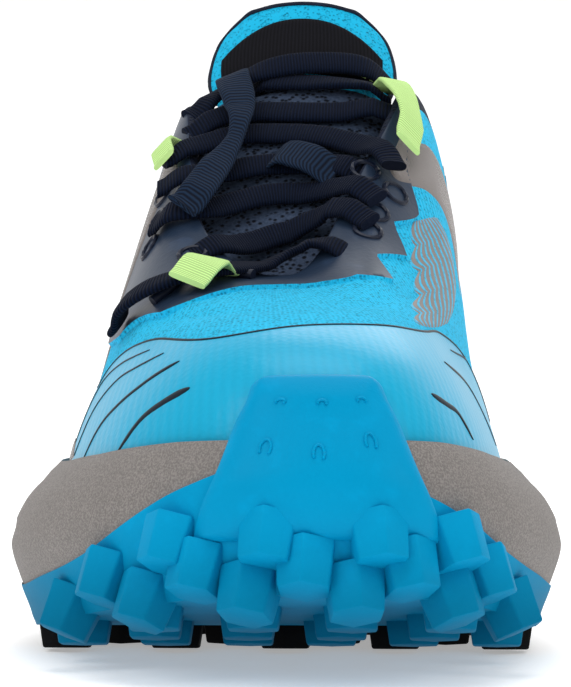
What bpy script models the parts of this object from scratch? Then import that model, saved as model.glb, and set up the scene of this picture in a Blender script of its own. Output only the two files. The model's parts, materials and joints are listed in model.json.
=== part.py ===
"""Trail running shoe for the right foot, with the toe towards -Y and the inner side of the foot at +X.

The last is a ring of ribs. Each rib starts at the feather line, where the upper meets the midsole,
and ends at the topline, the edge of the collar and throat. The upper, the midsole's rim, the toe
bumper, the insole and the tongue all take their shape from these ribs.
"""
import math
from collections import namedtuple

import bmesh
import bpy
from mathutils import Vector
from mathutils.bvhtree import BVHTree

MM = 0.001

# Driving dimensions
SHOE_LENGTH = 302 * MM
BALL_WIDTH = 95 * MM
INSTEP_HEIGHT = 119 * MM
HEEL_HEIGHT = 104 * MM
SOLE_FLARE = 10.5 * MM
TOE_SPRING = 16 * MM
HEEL_BEVEL = 7 * MM
GAP = 0.3 * MM

# Upper
WALL = 2.0 * MM
COLLAR_PAD = 6 * MM
CAP_STEP = 0.7 * MM
EYESTAY_STEP = 0.9 * MM
FINGER_REACH = 0.09
FINGER_TIP = 0.86
STEP_EDGE = 0.012

# Sole
LUG_HEIGHT = 4.5 * MM
OUTSOLE_WALL = 2.0 * MM
RIM_WIDTH = 2.6 * MM
INSOLE_THICKNESS = 4 * MM
INSOLE_FIT = 1.0 * MM
SPLIT_GAP = 0.6 * MM
LUG_WIDTH = 13 * MM
LUG_PITCH = 19 * MM
TOE_LUG_PITCH = 15 * MM
LUG_ROOT = 1 * MM
LUG_TIP = 0.43
LUG_MARGIN = 0.46
LUG_SIDES = 6
FRONT_TREAD = (0.095, 0.205)
REAR_TREAD = (0.285, 0.945)

# Tongue and label
TONGUE_WALL = 4 * MM
TONGUE_PAD = 4 * MM
TONGUE_TUCK = 7 * MM
TONGUE_FIT = 1.5 * MM
LABEL_THICKNESS = 0.8 * MM

# Laces and webbing
LACE_WIDTH = 6.5 * MM
LACE_THICKNESS = 2.0 * MM
LACE_CLEARANCE = 0.5 * MM
WEBBING_THICKNESS = 1.2 * MM
BAND_STEP = 4 * MM

RING_COLUMNS = 72
END_DENSITY = 0.5
SEARCH_STEPS = 24
ROUTE_STEPS = 16

# One row for each rib, in even steps round the shoe from the heel along the outer side.
# foot_*: the feather line, as shares of the length and of half the ball width.
# top_*: the topline, likewise; high is a share of the instep or heel height named by "of".
# swell, rise, reach, drop: the rib's handles in mm, out and up at the feather,
# towards the feather and down at the topline.
# flare: share of the sole's flare; wrap: share of the sole's side under rubber.
# cap, stay: shares along the rib where the toe cap ends and the eyestay starts.
Rib = namedtuple("Rib", "foot_along foot_out top_along top_out high of "
                        "swell rise reach drop pad flare wrap cap stay")
RIBS = [
    Rib(0.970, 0.06, 0.954, 0.06, 1.000, "heel", 6.0, 24, 8, 22, 1.0, 0.75, 0.22, 0.0, 1.00),
    Rib(0.950, -0.36, 0.930, -0.28, 0.995, "heel", 6.0, 24, 7, 22, 1.0, 0.80, 0.20, 0.0, 1.00),
    Rib(0.868, -0.62, 0.861, -0.53, 0.942, "heel", 5.0, 22, 7, 20, 1.0, 0.85, 0.18, 0.0, 1.00),
    Rib(0.768, -0.67, 0.775, -0.62, 0.846, "heel", 4.0, 20, 6, 16, 1.0, 0.80, 0.18, 0.0, 1.00),
    Rib(0.656, -0.72, 0.665, -0.64, 0.850, "heel", 4.0, 18, 7, 16, 0.9, 0.75, 0.18, 0.0, 1.00),
    Rib(0.536, -0.84, 0.570, -0.60, 0.890, "instep", 2.5, 15, 8, 18, 0.7, 0.85, 0.20, 0.0, 0.97),
    Rib(0.424, -0.95, 0.505, -0.52, 0.965, "instep", 1.0, 12, 10, 20, 0.3, 1.00, 0.24, 0.0, 0.62),
    Rib(0.321, -1.00, 0.435, -0.47, 0.862, "instep", 0.5, 11, 13, 15, 0.0, 1.00, 0.20, 0.18, 0.52),
    Rib(0.219, -0.88, 0.370, -0.41, 0.750, "instep", 0.5, 18, 20, 12, 0.0, 0.92, 0.22, 0.47, 0.575),
    Rib(0.126, -0.63, 0.328, -0.25, 0.676, "instep", 0.5, 27, 32, 8, 0.0, 0.72, 0.33, 0.548, 0.70),
    Rib(0.060, -0.26, 0.315, -0.12, 0.655, "instep", 0.5, 36, 46, 8, 0.0, 0.50, 0.70, 0.468, 0.88),
    Rib(0.033, 0.18, 0.313, -0.03, 0.651, "instep", 0.5, 38, 50, 8, 0.0, 0.42, 0.92, 0.51, 0.915),
    Rib(0.050, 0.56, 0.317, 0.07, 0.658, "instep", 0.5, 36, 46, 8, 0.0, 0.50, 0.64, 0.535, 0.90),
    Rib(0.113, 0.82, 0.334, 0.16, 0.695, "instep", 0.5, 28, 32, 8, 0.0, 0.72, 0.32, 0.545, 0.830),
    Rib(0.205, 0.96, 0.374, 0.26, 0.778, "instep", 0.5, 19, 20, 12, 0.0, 0.92, 0.22, 0.545, 0.825),
    Rib(0.291, 0.99, 0.434, 0.39, 0.892, "instep", 0.5, 12, 14, 15, 0.0, 1.00, 0.20, 0.40, 0.835),
    Rib(0.404, 0.91, 0.505, 0.545, 1.000, "instep", 1.0, 13, 11, 20, 0.3, 0.95, 0.24, 0.0, 0.97),
    Rib(0.523, 0.76, 0.570, 0.65, 0.925, "instep", 3.0, 16, 9, 18, 0.7, 0.80, 0.20, 0.0, 0.97),
    Rib(0.649, 0.70, 0.675, 0.69, 0.885, "heel", 4.0, 18, 7, 16, 0.9, 0.75, 0.18, 0.0, 1.00),
    Rib(0.768, 0.76, 0.775, 0.69, 0.885, "heel", 4.0, 20, 6, 16, 1.0, 0.80, 0.18, 0.0, 1.00),
    Rib(0.868, 0.76, 0.861, 0.63, 0.962, "heel", 5.0, 22, 7, 20, 1.0, 0.85, 0.18, 0.0, 1.00),
    Rib(0.950, 0.52, 0.930, 0.40, 1.000, "heel", 6.0, 24, 7, 22, 1.0, 0.80, 0.20, 0.0, 1.00),
]
RIB_COUNT = len(RIBS)
TOE_PLACE = 0.5
STAY_TOPS = (6, 16)
ROWS_WITHOUT_LINING = (1, 4, 8)
SPLIT_COLUMN = 23
BUMPER_COLUMNS = 3
BUMPER_SHARES = (0.0, 0.02, 0.08, 0.14)

# Lugs that climb the toe: height on the sole's side and places either way from the toe.
TOE_LUGS = (
    (0.42, (-0.050, -0.014, 0.026, 0.058)),
    (0.22, (-0.080, -0.040, -0.001, 0.038, 0.076)),
    (0.05, (-0.108, -0.064, -0.022, 0.018, 0.060, 0.102)),
)

# Free upper end of the tongue, from the eyestay's top: along and out as shares of the length
# and half the ball width, high as a share of the instep height, droop of its sides in mm.
TongueRow = namedtuple("TongueRow", "along high out droop")
TONGUE_TOP = [
    TongueRow(0.510, 1.010, 0.41, 5.0),
    TongueRow(0.528, 1.068, 0.46, 5.0),
    TongueRow(0.545, 1.125, 0.45, 5.0),
    TongueRow(0.556, 1.165, 0.39, 4.0),
    TongueRow(0.560, 1.183, 0.27, 2.0),
]

# Laces over the tongue, from the toe up. Each point is (out, along) as shares of half the ball
# width and of the length.
LACES = {
    "lace_bottom": [[(0.30, 0.322), (0.10, 0.330), (-0.12, 0.312), (-0.26, 0.290), (-0.42, 0.274),
                     (-0.62, 0.277), (-0.77, 0.297)]],
    "lace_low": [[(-0.42, 0.330), (-0.30, 0.341), (-0.13, 0.362), (0.06, 0.373), (0.22, 0.368),
                  (0.36, 0.350)]],
    "lace_middle": [[(-0.64, 0.385), (-0.46, 0.376), (-0.27, 0.392), (-0.06, 0.404),
                     (0.11, 0.402), (0.25, 0.392), (0.39, 0.372)]],
    "lace_return": [[(-0.62, 0.412), (-0.42, 0.415), (-0.21, 0.425), (0.0, 0.429), (0.19, 0.421),
                     (0.34, 0.406)]],
    "lace_wide": [[(-0.60, 0.436), (-0.44, 0.446), (-0.23, 0.458), (-0.06, 0.456), (0.11, 0.449),
                   (0.32, 0.433), (0.48, 0.402)]],
    "lace_high": [[(-0.50, 0.462), (-0.36, 0.474), (-0.21, 0.480), (0.02, 0.474), (0.25, 0.474),
                   (0.47, 0.472)]],
    "lace_top": [[(-0.49, 0.485), (-0.40, 0.499), (-0.29, 0.509), (-0.06, 0.513), (0.15, 0.519),
                  (0.32, 0.521), (0.46, 0.516)],
                 [(-0.24, 0.515), (-0.10, 0.508), (0.12, 0.502), (0.30, 0.499), (0.45, 0.498)]],
}

# Webbing: colour, then its runs, each a width in mm and a route like the laces'.
WEBBING = {
    "loop_vamp": ((0.50, 0.75, 0.16), [(9, [(-0.40, 0.250), (-0.34, 0.270), (-0.28, 0.292)])]),
    "loop_left": ((0.50, 0.75, 0.16), [(6, [(-0.57, 0.464), (-0.60, 0.447), (-0.63, 0.430)])]),
    "loop_right": ((0.50, 0.75, 0.16), [(7, [(0.42, 0.505), (0.50, 0.468), (0.57, 0.432)])]),
    "lace_keeper": ((0.012, 0.022, 0.06), [
        (8, [(-0.31, 0.514), (-0.29, 0.487), (-0.25, 0.457), (-0.26, 0.430), (-0.35, 0.398),
             (-0.46, 0.362)]),
    ]),
    "lace_keeper_tail": ((0.012, 0.022, 0.06), [(9, [(-0.13, 0.430), (0.02, 0.420), (0.20, 0.404)])]),
}

TONGUE_ALONG = (0.332, 0.352, 0.385, 0.420, 0.455, 0.485)
TONGUE_CENTRE = 0.015
TONGUE_ACROSS = 9
TONGUE_CROWN = 0.28
TUCK_SHARE = 0.10
FIRST_FINGER = 12.93
LAST_FINGER = 15.27
FINGERS = 3

# The sole's bed and rim over the floor in mm, at shares of the length from the toe.
Level = namedtuple("Level", "along bed rim")
LEVELS = [
    Level(0.00, 36.5, 48.5),
    Level(0.07, 33.5, 46.5),
    Level(0.15, 29.5, 43.0),
    Level(0.23, 26.5, 40.5),
    Level(0.32, 24.5, 39.0),
    Level(0.43, 25.0, 39.0),
    Level(0.58, 27.0, 41.0),
    Level(0.73, 29.0, 44.0),
    Level(0.88, 30.0, 46.0),
    Level(1.00, 31.0, 48.0),
]
RIM_STEPS = (1.0, 0.5, 0.0)

# Outline of the midsole's side from its bottom edge to the rim, in even steps of height,
# as shares of the flare.
BELLY = (0.42, 0.80, 1.0, 0.68, 0.0)

FLAT_FROM = 0.315
FLAT_TO = 0.90
SPRING_CURVE = 1.4


def catmull(values, place, cyclic=True):
    """Value at a place counted in rows, on a smooth curve through the rows."""
    count = len(values)
    first = math.floor(place)
    share = place - first

    def row(number):
        if cyclic:
            return values[number % count]
        return values[min(max(number, 0), count - 1)]

    before, start, end, after = (row(first + step) for step in (-1, 0, 1, 2))
    return start + 0.5 * share * (
        end - before
        + share * (2 * before - 5 * start + 4 * end - after
                   + share * (3 * (start - end) + after - before)))


def ramp(value, low, high):
    """Soft step from 0 to 1 between low and high."""
    share = min(max((value - low) / (high - low), 0.0), 1.0)
    return share * share * (3 - 2 * share)


def column(name):
    return [getattr(rib, name) for rib in RIBS]


def top_heights():
    sizes = {"instep": INSTEP_HEIGHT, "heel": HEEL_HEIGHT}
    return [rib.high * sizes[rib.of] for rib in RIBS]


COLUMNS = {name: column(name) for name in Rib._fields if name != "of"}
COLUMNS["height"] = top_heights()


def at(name, around):
    """A column of the rib table at a share of the way round the shoe."""
    return catmull(COLUMNS[name], around * RIB_COUNT)


def level(name, along):
    """Bed or rim height at a share of the length."""
    for row, after in zip(LEVELS, LEVELS[1:]):
        if along <= after.along:
            share = (along - row.along) / (after.along - row.along)
            low, high = getattr(row, name), getattr(after, name)
            return (low + (high - low) * min(max(share, 0.0), 1.0)) * MM
    return getattr(LEVELS[-1], name) * MM


def ground(along):
    """Height of the lugs' ends over the floor: toe spring, flat tread, heel bevel."""
    if along < FLAT_FROM:
        return TOE_SPRING * ((FLAT_FROM - along) / FLAT_FROM) ** SPRING_CURVE
    if along > FLAT_TO:
        return HEEL_BEVEL * min((along - FLAT_TO) / (1 - FLAT_TO), 1.0) ** 2
    return 0.0


def plan(along, out):
    """Point on the floor from a share of the length and of half the ball width."""
    return Vector((out * BALL_WIDTH / 2, (along - 0.5) * SHOE_LENGTH, 0))


def along_of(point):
    return point.y / SHOE_LENGTH + 0.5


def foot(around):
    """Point of the feather line."""
    point = plan(at("foot_along", around), at("foot_out", around))
    point.z = level("bed", along_of(point)) + GAP
    return point


def top(around):
    """Point of the topline."""
    point = plan(at("top_along", around), at("top_out", around))
    point.z = at("height", around)
    return point


def outward(around):
    """Level direction away from the foot at the feather line."""
    step = 0.004
    run = foot(around + step) - foot(around - step)
    return Vector((run.y, -run.x, 0)).normalized()


def rib_point(around, share):
    """Point on the last at a share of the way up a rib."""
    start = foot(around)
    end = top(around)
    away = outward(around)
    lean = start - end + away * 0.01
    lean.z = 0
    lean.normalize()
    first = start + away * at("swell", around) * MM + Vector((0, 0, at("rise", around) * MM))
    last = end + lean * at("reach", around) * MM - Vector((0, 0, at("drop", around) * MM))
    rest = 1 - share
    return (start * rest ** 3 + first * 3 * rest ** 2 * share
            + last * 3 * rest * share ** 2 + end * share ** 3)


def rib_normal(around, share):
    """Outward direction of the last's surface."""
    step = 0.003
    across = rib_point(around + step, share) - rib_point(around - step, share)
    low, high = max(share - step, 0), min(share + step, 1)
    up = rib_point(around, high) - rib_point(around, low)
    return across.cross(up).normalized()


def last_point(around, share, offset=0.0):
    return rib_point(around, share) + rib_normal(around, share) * offset


def rim_share(around):
    """Share along a rib at which it passes the height of the midsole's rim."""
    target = level("rim", along_of(foot(around)))
    low, high = 0.0, 0.9
    for _ in range(SEARCH_STEPS):
        middle = (low + high) / 2
        if rib_point(around, middle).z < target:
            low = middle
        else:
            high = middle
    return high


def finger(around):
    """How far an eyestay finger reaches at this place, 0 between fingers and 1 at a tip."""
    place = (around * RIB_COUNT - FIRST_FINGER) / (LAST_FINGER - FIRST_FINGER)
    if not 0 < place < 1:
        return 0.0
    step = (place * FINGERS) % 1
    return step / FINGER_TIP if step < FINGER_TIP else (1 - step) / (1 - FINGER_TIP)


def cap_edge(around):
    return max(at("cap", around), rim_share(around) + 0.04)


def stay_edge(around):
    edge = at("stay", around) - FINGER_REACH * finger(around)
    return min(max(edge, cap_edge(around) + 0.12), 0.95)


def cap_step(around):
    return CAP_STEP * ramp(at("cap", around), 0.04, 0.12)


def stay_step(around):
    return EYESTAY_STEP * ramp(0.99 - at("stay", around), 0.01, 0.08)


def skin(around, share):
    """Height of the overlays over the knit."""
    if share <= cap_edge(around) + 1e-6:
        return cap_step(around)
    if share >= stay_edge(around) - 1e-6:
        return stay_step(around)
    return 0.0


def lining(around, share):
    """Depth of the upper's inner face under the knit."""
    return WALL + COLLAR_PAD * at("pad", around) * ramp(share, 0.45, 0.95)


def rib_shares(around):
    """Shares along a rib of the upper's rows, bent to follow the rim and the overlays' edges."""
    rim, cap, stay = rim_share(around), cap_edge(around), stay_edge(around)
    middle = [cap + (stay - cap) * part for part in (0.28, 0.52, 0.76)]
    return [0, rim / 2, rim, cap, cap + STEP_EDGE, *middle, stay - STEP_EDGE, stay,
            stay + (1 - stay) * 0.5, 1]


def around_steps():
    """Places round the shoe, closer together at the toe and heel."""
    steps = []
    for number in range(RING_COLUMNS):
        even = number / RING_COLUMNS
        steps.append(even - END_DENSITY * math.sin(4 * math.pi * even) / (4 * math.pi))
    return steps


AROUND = around_steps()


def grid_faces(faces, rows, closed=True, flip=False):
    """Quads between neighbouring rows of vertices."""
    for low, high in zip(rows, rows[1:]):
        count = len(low)
        for number in range(count if closed else count - 1):
            after = (number + 1) % count
            face = [low[number], low[after], high[after], high[number]]
            faces.append(face[::-1] if flip else face)


class Shell:
    """Vertices and faces of one solid, gathered row by row."""

    def __init__(self):
        self.mesh = bmesh.new()

    def row(self, points):
        return [self.mesh.verts.new(point) for point in points]

    def skin(self, rows, closed=True):
        faces = []
        grid_faces(faces, rows, closed)
        for face in faces:
            self.mesh.faces.new(face)

    def ladder(self, row):
        """Close a ring with rungs between its outer and inner side."""
        count = len(row)
        for number in range(count // 2):
            corners = [row[number], row[number + 1], row[-number - 1], row[-number]]
            kept = []
            for corner in corners:
                if corner not in kept:
                    kept.append(corner)
            if len(kept) > 2:
                self.mesh.faces.new(kept)

    def finish(self, name, material):
        bmesh.ops.recalc_face_normals(self.mesh, faces=self.mesh.faces)
        bmesh.ops.triangulate(self.mesh, faces=self.mesh.faces)
        mesh = bpy.data.meshes.new(name)
        self.mesh.to_mesh(mesh)
        self.mesh.free()
        made = bpy.data.objects.new(name, mesh)
        PARTS.objects.link(made)
        mesh.materials.append(material)
        mesh.shade_smooth()
        mesh.set_sharp_from_angle(angle=math.radians(35))
        return made


class Sheet:
    """A solid between a front and a back surface that share one net of faces."""

    def __init__(self):
        self.points = {}
        self.faces = []

    def add(self, key, front, back):
        self.points[key] = (front, back)

    def grid(self, columns, rows):
        """Faces between neighbouring keys; columns and rows are lists of keys' halves."""
        for left, right in zip(columns, columns[1:]):
            for low, high in zip(rows, rows[1:]):
                self.faces.append([(left, low), (right, low), (right, high), (left, high)])

    def finish(self, name, material):
        shell = Shell()
        front = {key: shell.mesh.verts.new(pair[0]) for key, pair in self.points.items()}
        back = {key: shell.mesh.verts.new(pair[1]) for key, pair in self.points.items()}
        seen = {}
        for face in self.faces:
            shell.mesh.faces.new([front[key] for key in face])
            shell.mesh.faces.new([back[key] for key in reversed(face)])
            for start, end in zip(face, face[1:] + face[:1]):
                seen.setdefault(frozenset((start, end)), []).append((start, end))
        for edges in seen.values():
            if len(edges) == 1:
                start, end = edges[0]
                shell.mesh.faces.new([front[end], front[start], back[start], back[end]])
        return shell.finish(name, material)


def surface(name, colour, roughness, metallic=0.0):
    made = bpy.data.materials.new(name)
    made.use_nodes = True
    shader = made.node_tree.nodes["Principled BSDF"]
    shader.inputs["Base Color"].default_value = (*colour, 1)
    shader.inputs["Roughness"].default_value = roughness
    shader.inputs["Metallic"].default_value = metallic
    made.diffuse_color = (*colour, 1)
    return made


def make_upper():
    """Hollow knit upper: outer skin with its overlays, rolled topline, lining."""
    shell = Shell()
    shares = [rib_shares(around) for around in AROUND]
    outer, inner = [], []
    for number in range(len(shares[0])):
        outside, inside = [], []
        for around, rib in zip(AROUND, shares):
            share = rib[number]
            outside.append(last_point(around, share, skin(around, share)))
            inside.append(last_point(around, share, -lining(around, share)))
        outer.append(shell.row(outside))
        if number not in ROWS_WITHOUT_LINING:
            inner.append(shell.row(inside))
    roll = []
    for turn in (1, 2, 3):
        points = []
        for place, around in enumerate(AROUND):
            outside, inside = outer[-1][place].co, inner[-1][place].co
            middle, half = (outside + inside) / 2, (outside - inside) / 2
            rise = (rib_point(around, 1) - rib_point(around, 0.97)).normalized() * half.length
            angle = math.pi * turn / 4
            points.append(middle + half * math.cos(angle) + rise * math.sin(angle))
        roll.append(shell.row(points))
    shell.skin([*outer, *roll, *inner[::-1], outer[0]])
    return shell.finish("upper", surface("knit_cyan", (0.03, 0.47, 0.75), 0.8))


def side_point(around, share, offset=0.0):
    """Point on the midsole's side, from its bottom edge at 0 to the rim's top at 1."""
    base = foot(around)
    along = along_of(base)
    away = outward(around)
    bottom = ground(along) + LUG_HEIGHT + OUTSOLE_WALL + GAP
    rim = level("rim", along)
    rim_at = rim_share(around)
    rim_out = last_point(around, rim_at, skin(around, rim_at) + GAP + RIM_WIDTH) - base
    top_out = rim_out.dot(away)
    base.z = bottom + (rim - bottom) * share
    flare = max(SOLE_FLARE * at("flare", around) - top_out, 0)
    spread = top_out + flare * catmull(BELLY, share * (len(BELLY) - 1), cyclic=False)
    return base + away * (spread + offset)


def side_shares(around):
    """Shares up the midsole's side, with a row along the top edge of the rubber."""
    wrap = at("wrap", around)
    lower = [wrap * part for part in (0, 0.33, 0.67, 1)]
    return lower + [wrap + (1 - wrap) * part for part in (0.4, 0.75, 1)]


def make_midsole():
    """Moulded foam: flat bottom, bellied side, raised rim and the bed that the upper stands on."""
    shell = Shell()
    sides = [side_shares(around) for around in AROUND]
    rows = []
    for number in range(len(sides[0])):
        points = [side_point(around, side[number]) for around, side in zip(AROUND, sides)]
        rows.append(shell.row(points))
    for step in RIM_STEPS:
        points = []
        for around in AROUND:
            share = rim_share(around) * step
            point = last_point(around, share, skin(around, share) + GAP)
            if step == 0.0:
                point.z = foot(around).z - GAP
            if step == 1.0:
                point.z = level("rim", along_of(foot(around)))
            points.append(point)
        rows.append(shell.row(points))
    shell.skin(rows)
    shell.ladder(rows[0])
    shell.ladder(rows[-1])
    return shell.finish("midsole", surface("foam_taupe", (0.26, 0.22, 0.20), 0.7))


def make_insole():
    shell = Shell()
    rows = []
    for lift in (0.0, INSOLE_THICKNESS):
        points = []
        for around in AROUND:
            point = foot(around) - outward(around) * (WALL + INSOLE_FIT)
            point.z += lift
            points.append(point)
        rows.append(shell.row(points))
    shell.skin(rows)
    shell.ladder(rows[0])
    shell.ladder(rows[1])
    return shell.finish("insole", surface("insole_navy", (0.01, 0.02, 0.05), 0.9))


def tray(name, columns, bumper, material):
    """Rubber tray under the midsole and up its side, with a bumper over the cap where asked."""
    sheet = Sheet()
    far = GAP + OUTSOLE_WALL
    last = len(columns) - 1
    for place, around in enumerate(columns):
        at_split = not bumper and place in (0, last)
        slip = Vector((0, SPLIT_GAP if at_split else 0, 0))
        near = 2 * GAP if at_split else GAP
        for number, share in enumerate(side_shares(around)[:4]):
            outside = side_point(around, share, far) + slip
            inside = side_point(around, share, near) + slip
            if number == 0:
                outside = side_point(around, share, near) + slip
                outside.z -= GAP + OUTSOLE_WALL
                inside = side_point(around, share) + slip
                inside.z -= GAP
            sheet.add((place, number), outside, inside)
    sheet.grid(range(len(columns)), range(4))
    for place in range(last // 2):
        corners = [(place, 0), (last - place, 0), (last - place - 1, 0), (place + 1, 0)]
        kept = list(dict.fromkeys(corners))
        sheet.faces.append(kept)
    if bumper:
        add_bumper(sheet, columns)
    return sheet.finish(name, material)


def edge_around(along, start, end):
    """Place round the shoe, between two places, where the sole's bottom edge is this far along."""
    rising = along_of(side_point(end, 0.0)) > along_of(side_point(start, 0.0))
    for _ in range(SEARCH_STEPS):
        middle = (start + end) / 2
        if (along_of(side_point(middle, 0.0)) < along) == rising:
            start = middle
        else:
            end = middle
    return (start + end) / 2


def lug_row(along, pitch, shift):
    """Lug places across the tread at one distance from the toe, on its underside."""
    left = side_point(edge_around(along, 0.02, 0.49), 0.0).x
    right = side_point(edge_around(along, 0.51, 0.98), 0.0).x
    margin = LUG_WIDTH * LUG_MARGIN
    count = max(int((right - left - 2 * margin) / pitch) + 1 - shift, 1)
    step = (right - left - 2 * margin) / max(count - 1 + shift, 1)
    places = []
    for number in range(count):
        side = left + margin + step * (number + 0.5 * shift)
        places.append(Vector((side, (along - 0.5) * SHOE_LENGTH, ground(along) + LUG_HEIGHT)))
    return places


def add_lug(mesh, foot_of_lug, direction):
    """Six-sided tapered lug standing on the rubber and pointing away from it."""
    turn = direction.to_track_quat("Z", "Y").to_matrix().to_4x4()
    middle = foot_of_lug + direction * (LUG_HEIGHT - LUG_ROOT) / 2
    turn.translation = middle
    bmesh.ops.create_cone(mesh, cap_ends=True, segments=LUG_SIDES,
                          radius1=LUG_WIDTH / 2, radius2=LUG_WIDTH * LUG_TIP, depth=LUG_HEIGHT + LUG_ROOT, matrix=turn)


def add_lugs(body, name, tread, pitch, toe_rows):
    """Join the lugs of one stretch of tread to its rubber."""
    mesh = bmesh.new()
    first, last = tread
    rows = round((last - first) * SHOE_LENGTH / pitch)
    for number in range(rows + 1):
        along = first + (last - first) * number / rows
        lean = ground(along + 0.01) - ground(along - 0.01)
        down = Vector((0, lean, -0.02 * SHOE_LENGTH)).normalized()
        for place in lug_row(along, pitch, number % 2):
            add_lug(mesh, place, down)
    for share, steps in toe_rows:
        for step in steps:
            around = TOE_PLACE + step
            base = side_point(around, share, GAP + OUTSOLE_WALL)
            lower = side_point(around, max(share - 0.1, 0), GAP + OUTSOLE_WALL)
            run = side_point(around + 0.01, share) - side_point(around - 0.01, share)
            add_lug(mesh, base, run.cross(base - lower).normalized())
    data = bpy.data.meshes.new(name)
    mesh.to_mesh(data)
    mesh.free()
    lugs = bpy.data.objects.new(name, data)
    lugs.hide_render = True
    lugs.display_type = "WIRE"
    TOOLS.objects.link(lugs)
    joined = body.modifiers.new("lugs", "BOOLEAN")
    joined.operation = "UNION"
    joined.use_self = True
    joined.object = lugs


def add_bumper(sheet, columns):
    """Carry the tray's middle columns over the rim and up the toe cap."""
    middle = len(columns) // 2
    places = range(middle - BUMPER_COLUMNS - 1, middle + BUMPER_COLUMNS + 2)
    rows = list(range(3, 3 + 3 + len(BUMPER_SHARES)))
    for place in places:
        around = columns[place]
        rim = rim_share(around)
        for number, share in zip(rows[1:3], side_shares(around)[4:6]):
            sheet.add((place, number), side_point(around, share, GAP + OUTSOLE_WALL),
                      side_point(around, share, GAP))
        corner = side_point(around, 1.0, GAP)
        corner.z += GAP
        outside = side_point(around, 1.0, GAP + OUTSOLE_WALL)
        outside.z += GAP + OUTSOLE_WALL
        sheet.add((place, rows[3]), outside, corner)
        if place in (places[0], places[-1]):
            continue
        for number, lift in zip(rows[4:], BUMPER_SHARES[1:]):
            share = rim + lift
            depth = CAP_STEP + GAP
            sheet.add((place, number), last_point(around, share, depth + OUTSOLE_WALL),
                      last_point(around, share, depth))
    sheet.grid(list(places), rows[:4])
    sheet.grid(list(places)[1:-1], rows[3:])
    for outer, inner in ((places[0], places[1]), (places[-1], places[-2])):
        corners = [(outer, rows[3]), (inner, rows[3]), (inner, rows[4])]
        sheet.faces.append(corners if outer < inner else corners[::-1])


def throat_around(along, start, end):
    """Place round the shoe, between the toe and an eyestay's top, where the topline is here."""
    for _ in range(SEARCH_STEPS):
        middle = (start + end) / 2
        if along_of(top(middle)) < along:
            start = middle
        else:
            end = middle
    return (start + end) / 2


def tongue_section(along):
    """Points across the tongue's outer face where it lies under the eyestay."""
    edges = []
    for row in STAY_TOPS:
        around = throat_around(along, TOE_PLACE, row / RIB_COUNT)
        tuck = 1 - TUCK_SHARE
        hidden = last_point(around, tuck, -lining(around, tuck) - TONGUE_FIT)
        edge = last_point(around, 1.0, -lining(around, 1.0) - TONGUE_FIT)
        inwards = (rib_point(around, 1.0) - rib_point(around, 0.94)).normalized()
        edges.append((hidden, edge, inwards))
    (left_tuck, left, left_way), (right_tuck, right, right_way) = edges
    reach = (right - left).length * TONGUE_CROWN
    points = [left_tuck, left]
    for number in range(1, TONGUE_ACROSS - 3):
        share = number / (TONGUE_ACROSS - 3)
        rest = 1 - share
        points.append(left * rest ** 3 + (left + left_way * reach) * 3 * rest ** 2 * share
                      + (right + right_way * reach) * 3 * rest * share ** 2 + right * share ** 3)
    return points + [right, right_tuck]


def tongue_rows():
    """Rows of points over the tongue's outer face, from under the vamp to its top edge."""
    rows = [tongue_section(along) for along in TONGUE_ALONG]
    for point in rows[0]:
        point.z -= TONGUE_FIT / 2
    slide = Vector((0, -TONGUE_TUCK, -TONGUE_TUCK * 0.3))
    rows.insert(0, [point + slide for point in rows[0]])
    for row in TONGUE_TOP:
        points = []
        for number in range(TONGUE_ACROSS):
            across = 2 * number / (TONGUE_ACROSS - 1) - 1
            point = plan(row.along, TONGUE_CENTRE + row.out * across)
            point.z = row.high * INSTEP_HEIGHT - row.droop * MM * across ** 2
            point.y += row.droop * MM * across ** 2
            points.append(point)
        rows.append(points)
    return rows


def net_normal(rows, number, place):
    """Outward direction at one point of a net of rows."""
    above = rows[min(number + 1, len(rows) - 1)][place]
    below = rows[max(number - 1, 0)][place]
    right = rows[number][min(place + 1, len(rows[number]) - 1)]
    left = rows[number][max(place - 1, 0)]
    return (right - left).cross(above - below).normalized()


def make_tongue():
    """Knit tongue, thin under the eyestay and padded at its free top."""
    rows = tongue_rows()
    sheet = Sheet()
    last = len(rows) - 1
    for number, row in enumerate(rows):
        for place, point in enumerate(row):
            edge = min(place, len(row) - 1 - place)
            depth = TONGUE_WALL * (0.5 if edge == 0 else 1)
            depth += TONGUE_PAD * ramp(number, last - 5, last - 2) * (0.6 if edge == 0 else 1)
            depth *= 0.45 if number in (0, last) else 1
            back = point - net_normal(rows, number, place) * depth
            sheet.add((place, number), point, back)
    sheet.grid(range(TONGUE_ACROSS), range(len(rows)))
    return sheet.finish("tongue", surface("tongue_knit", (0.02, 0.05, 0.12), 0.9))


def make_label():
    """Bare label lying on the tongue's free top."""
    rows = tongue_rows()
    sheet = Sheet()
    chosen = range(len(rows) - 4, len(rows) - 1)
    places = range(1, TONGUE_ACROSS - 1)
    for number in chosen:
        for place in places:
            point = rows[number][place]
            away = net_normal(rows, number, place)
            sheet.add((place, number), point + away * (GAP + LABEL_THICKNESS), point + away * GAP)
    sheet.grid(list(places), list(chosen))
    return sheet.finish("tongue_label", surface("label_black", (0.01, 0.01, 0.012), 0.6))


def support_of(made):
    """Search tree over the faces of a finished piece."""
    mesh = made.data
    corners = [vertex.co.copy() for vertex in mesh.vertices]
    return BVHTree.FromPolygons(corners, [list(face.vertices) for face in mesh.polygons])


def drape(supports, point):
    """Height of the highest surface under a point, or None beside them all."""
    start = Vector((point.x, point.y, 2 * INSTEP_HEIGHT))
    heights = []
    for tree in supports:
        hit = tree.ray_cast(start, Vector((0, 0, -1)))[0]
        if hit is not None:
            heights.append(hit.z)
    return max(heights) if heights else None


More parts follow.
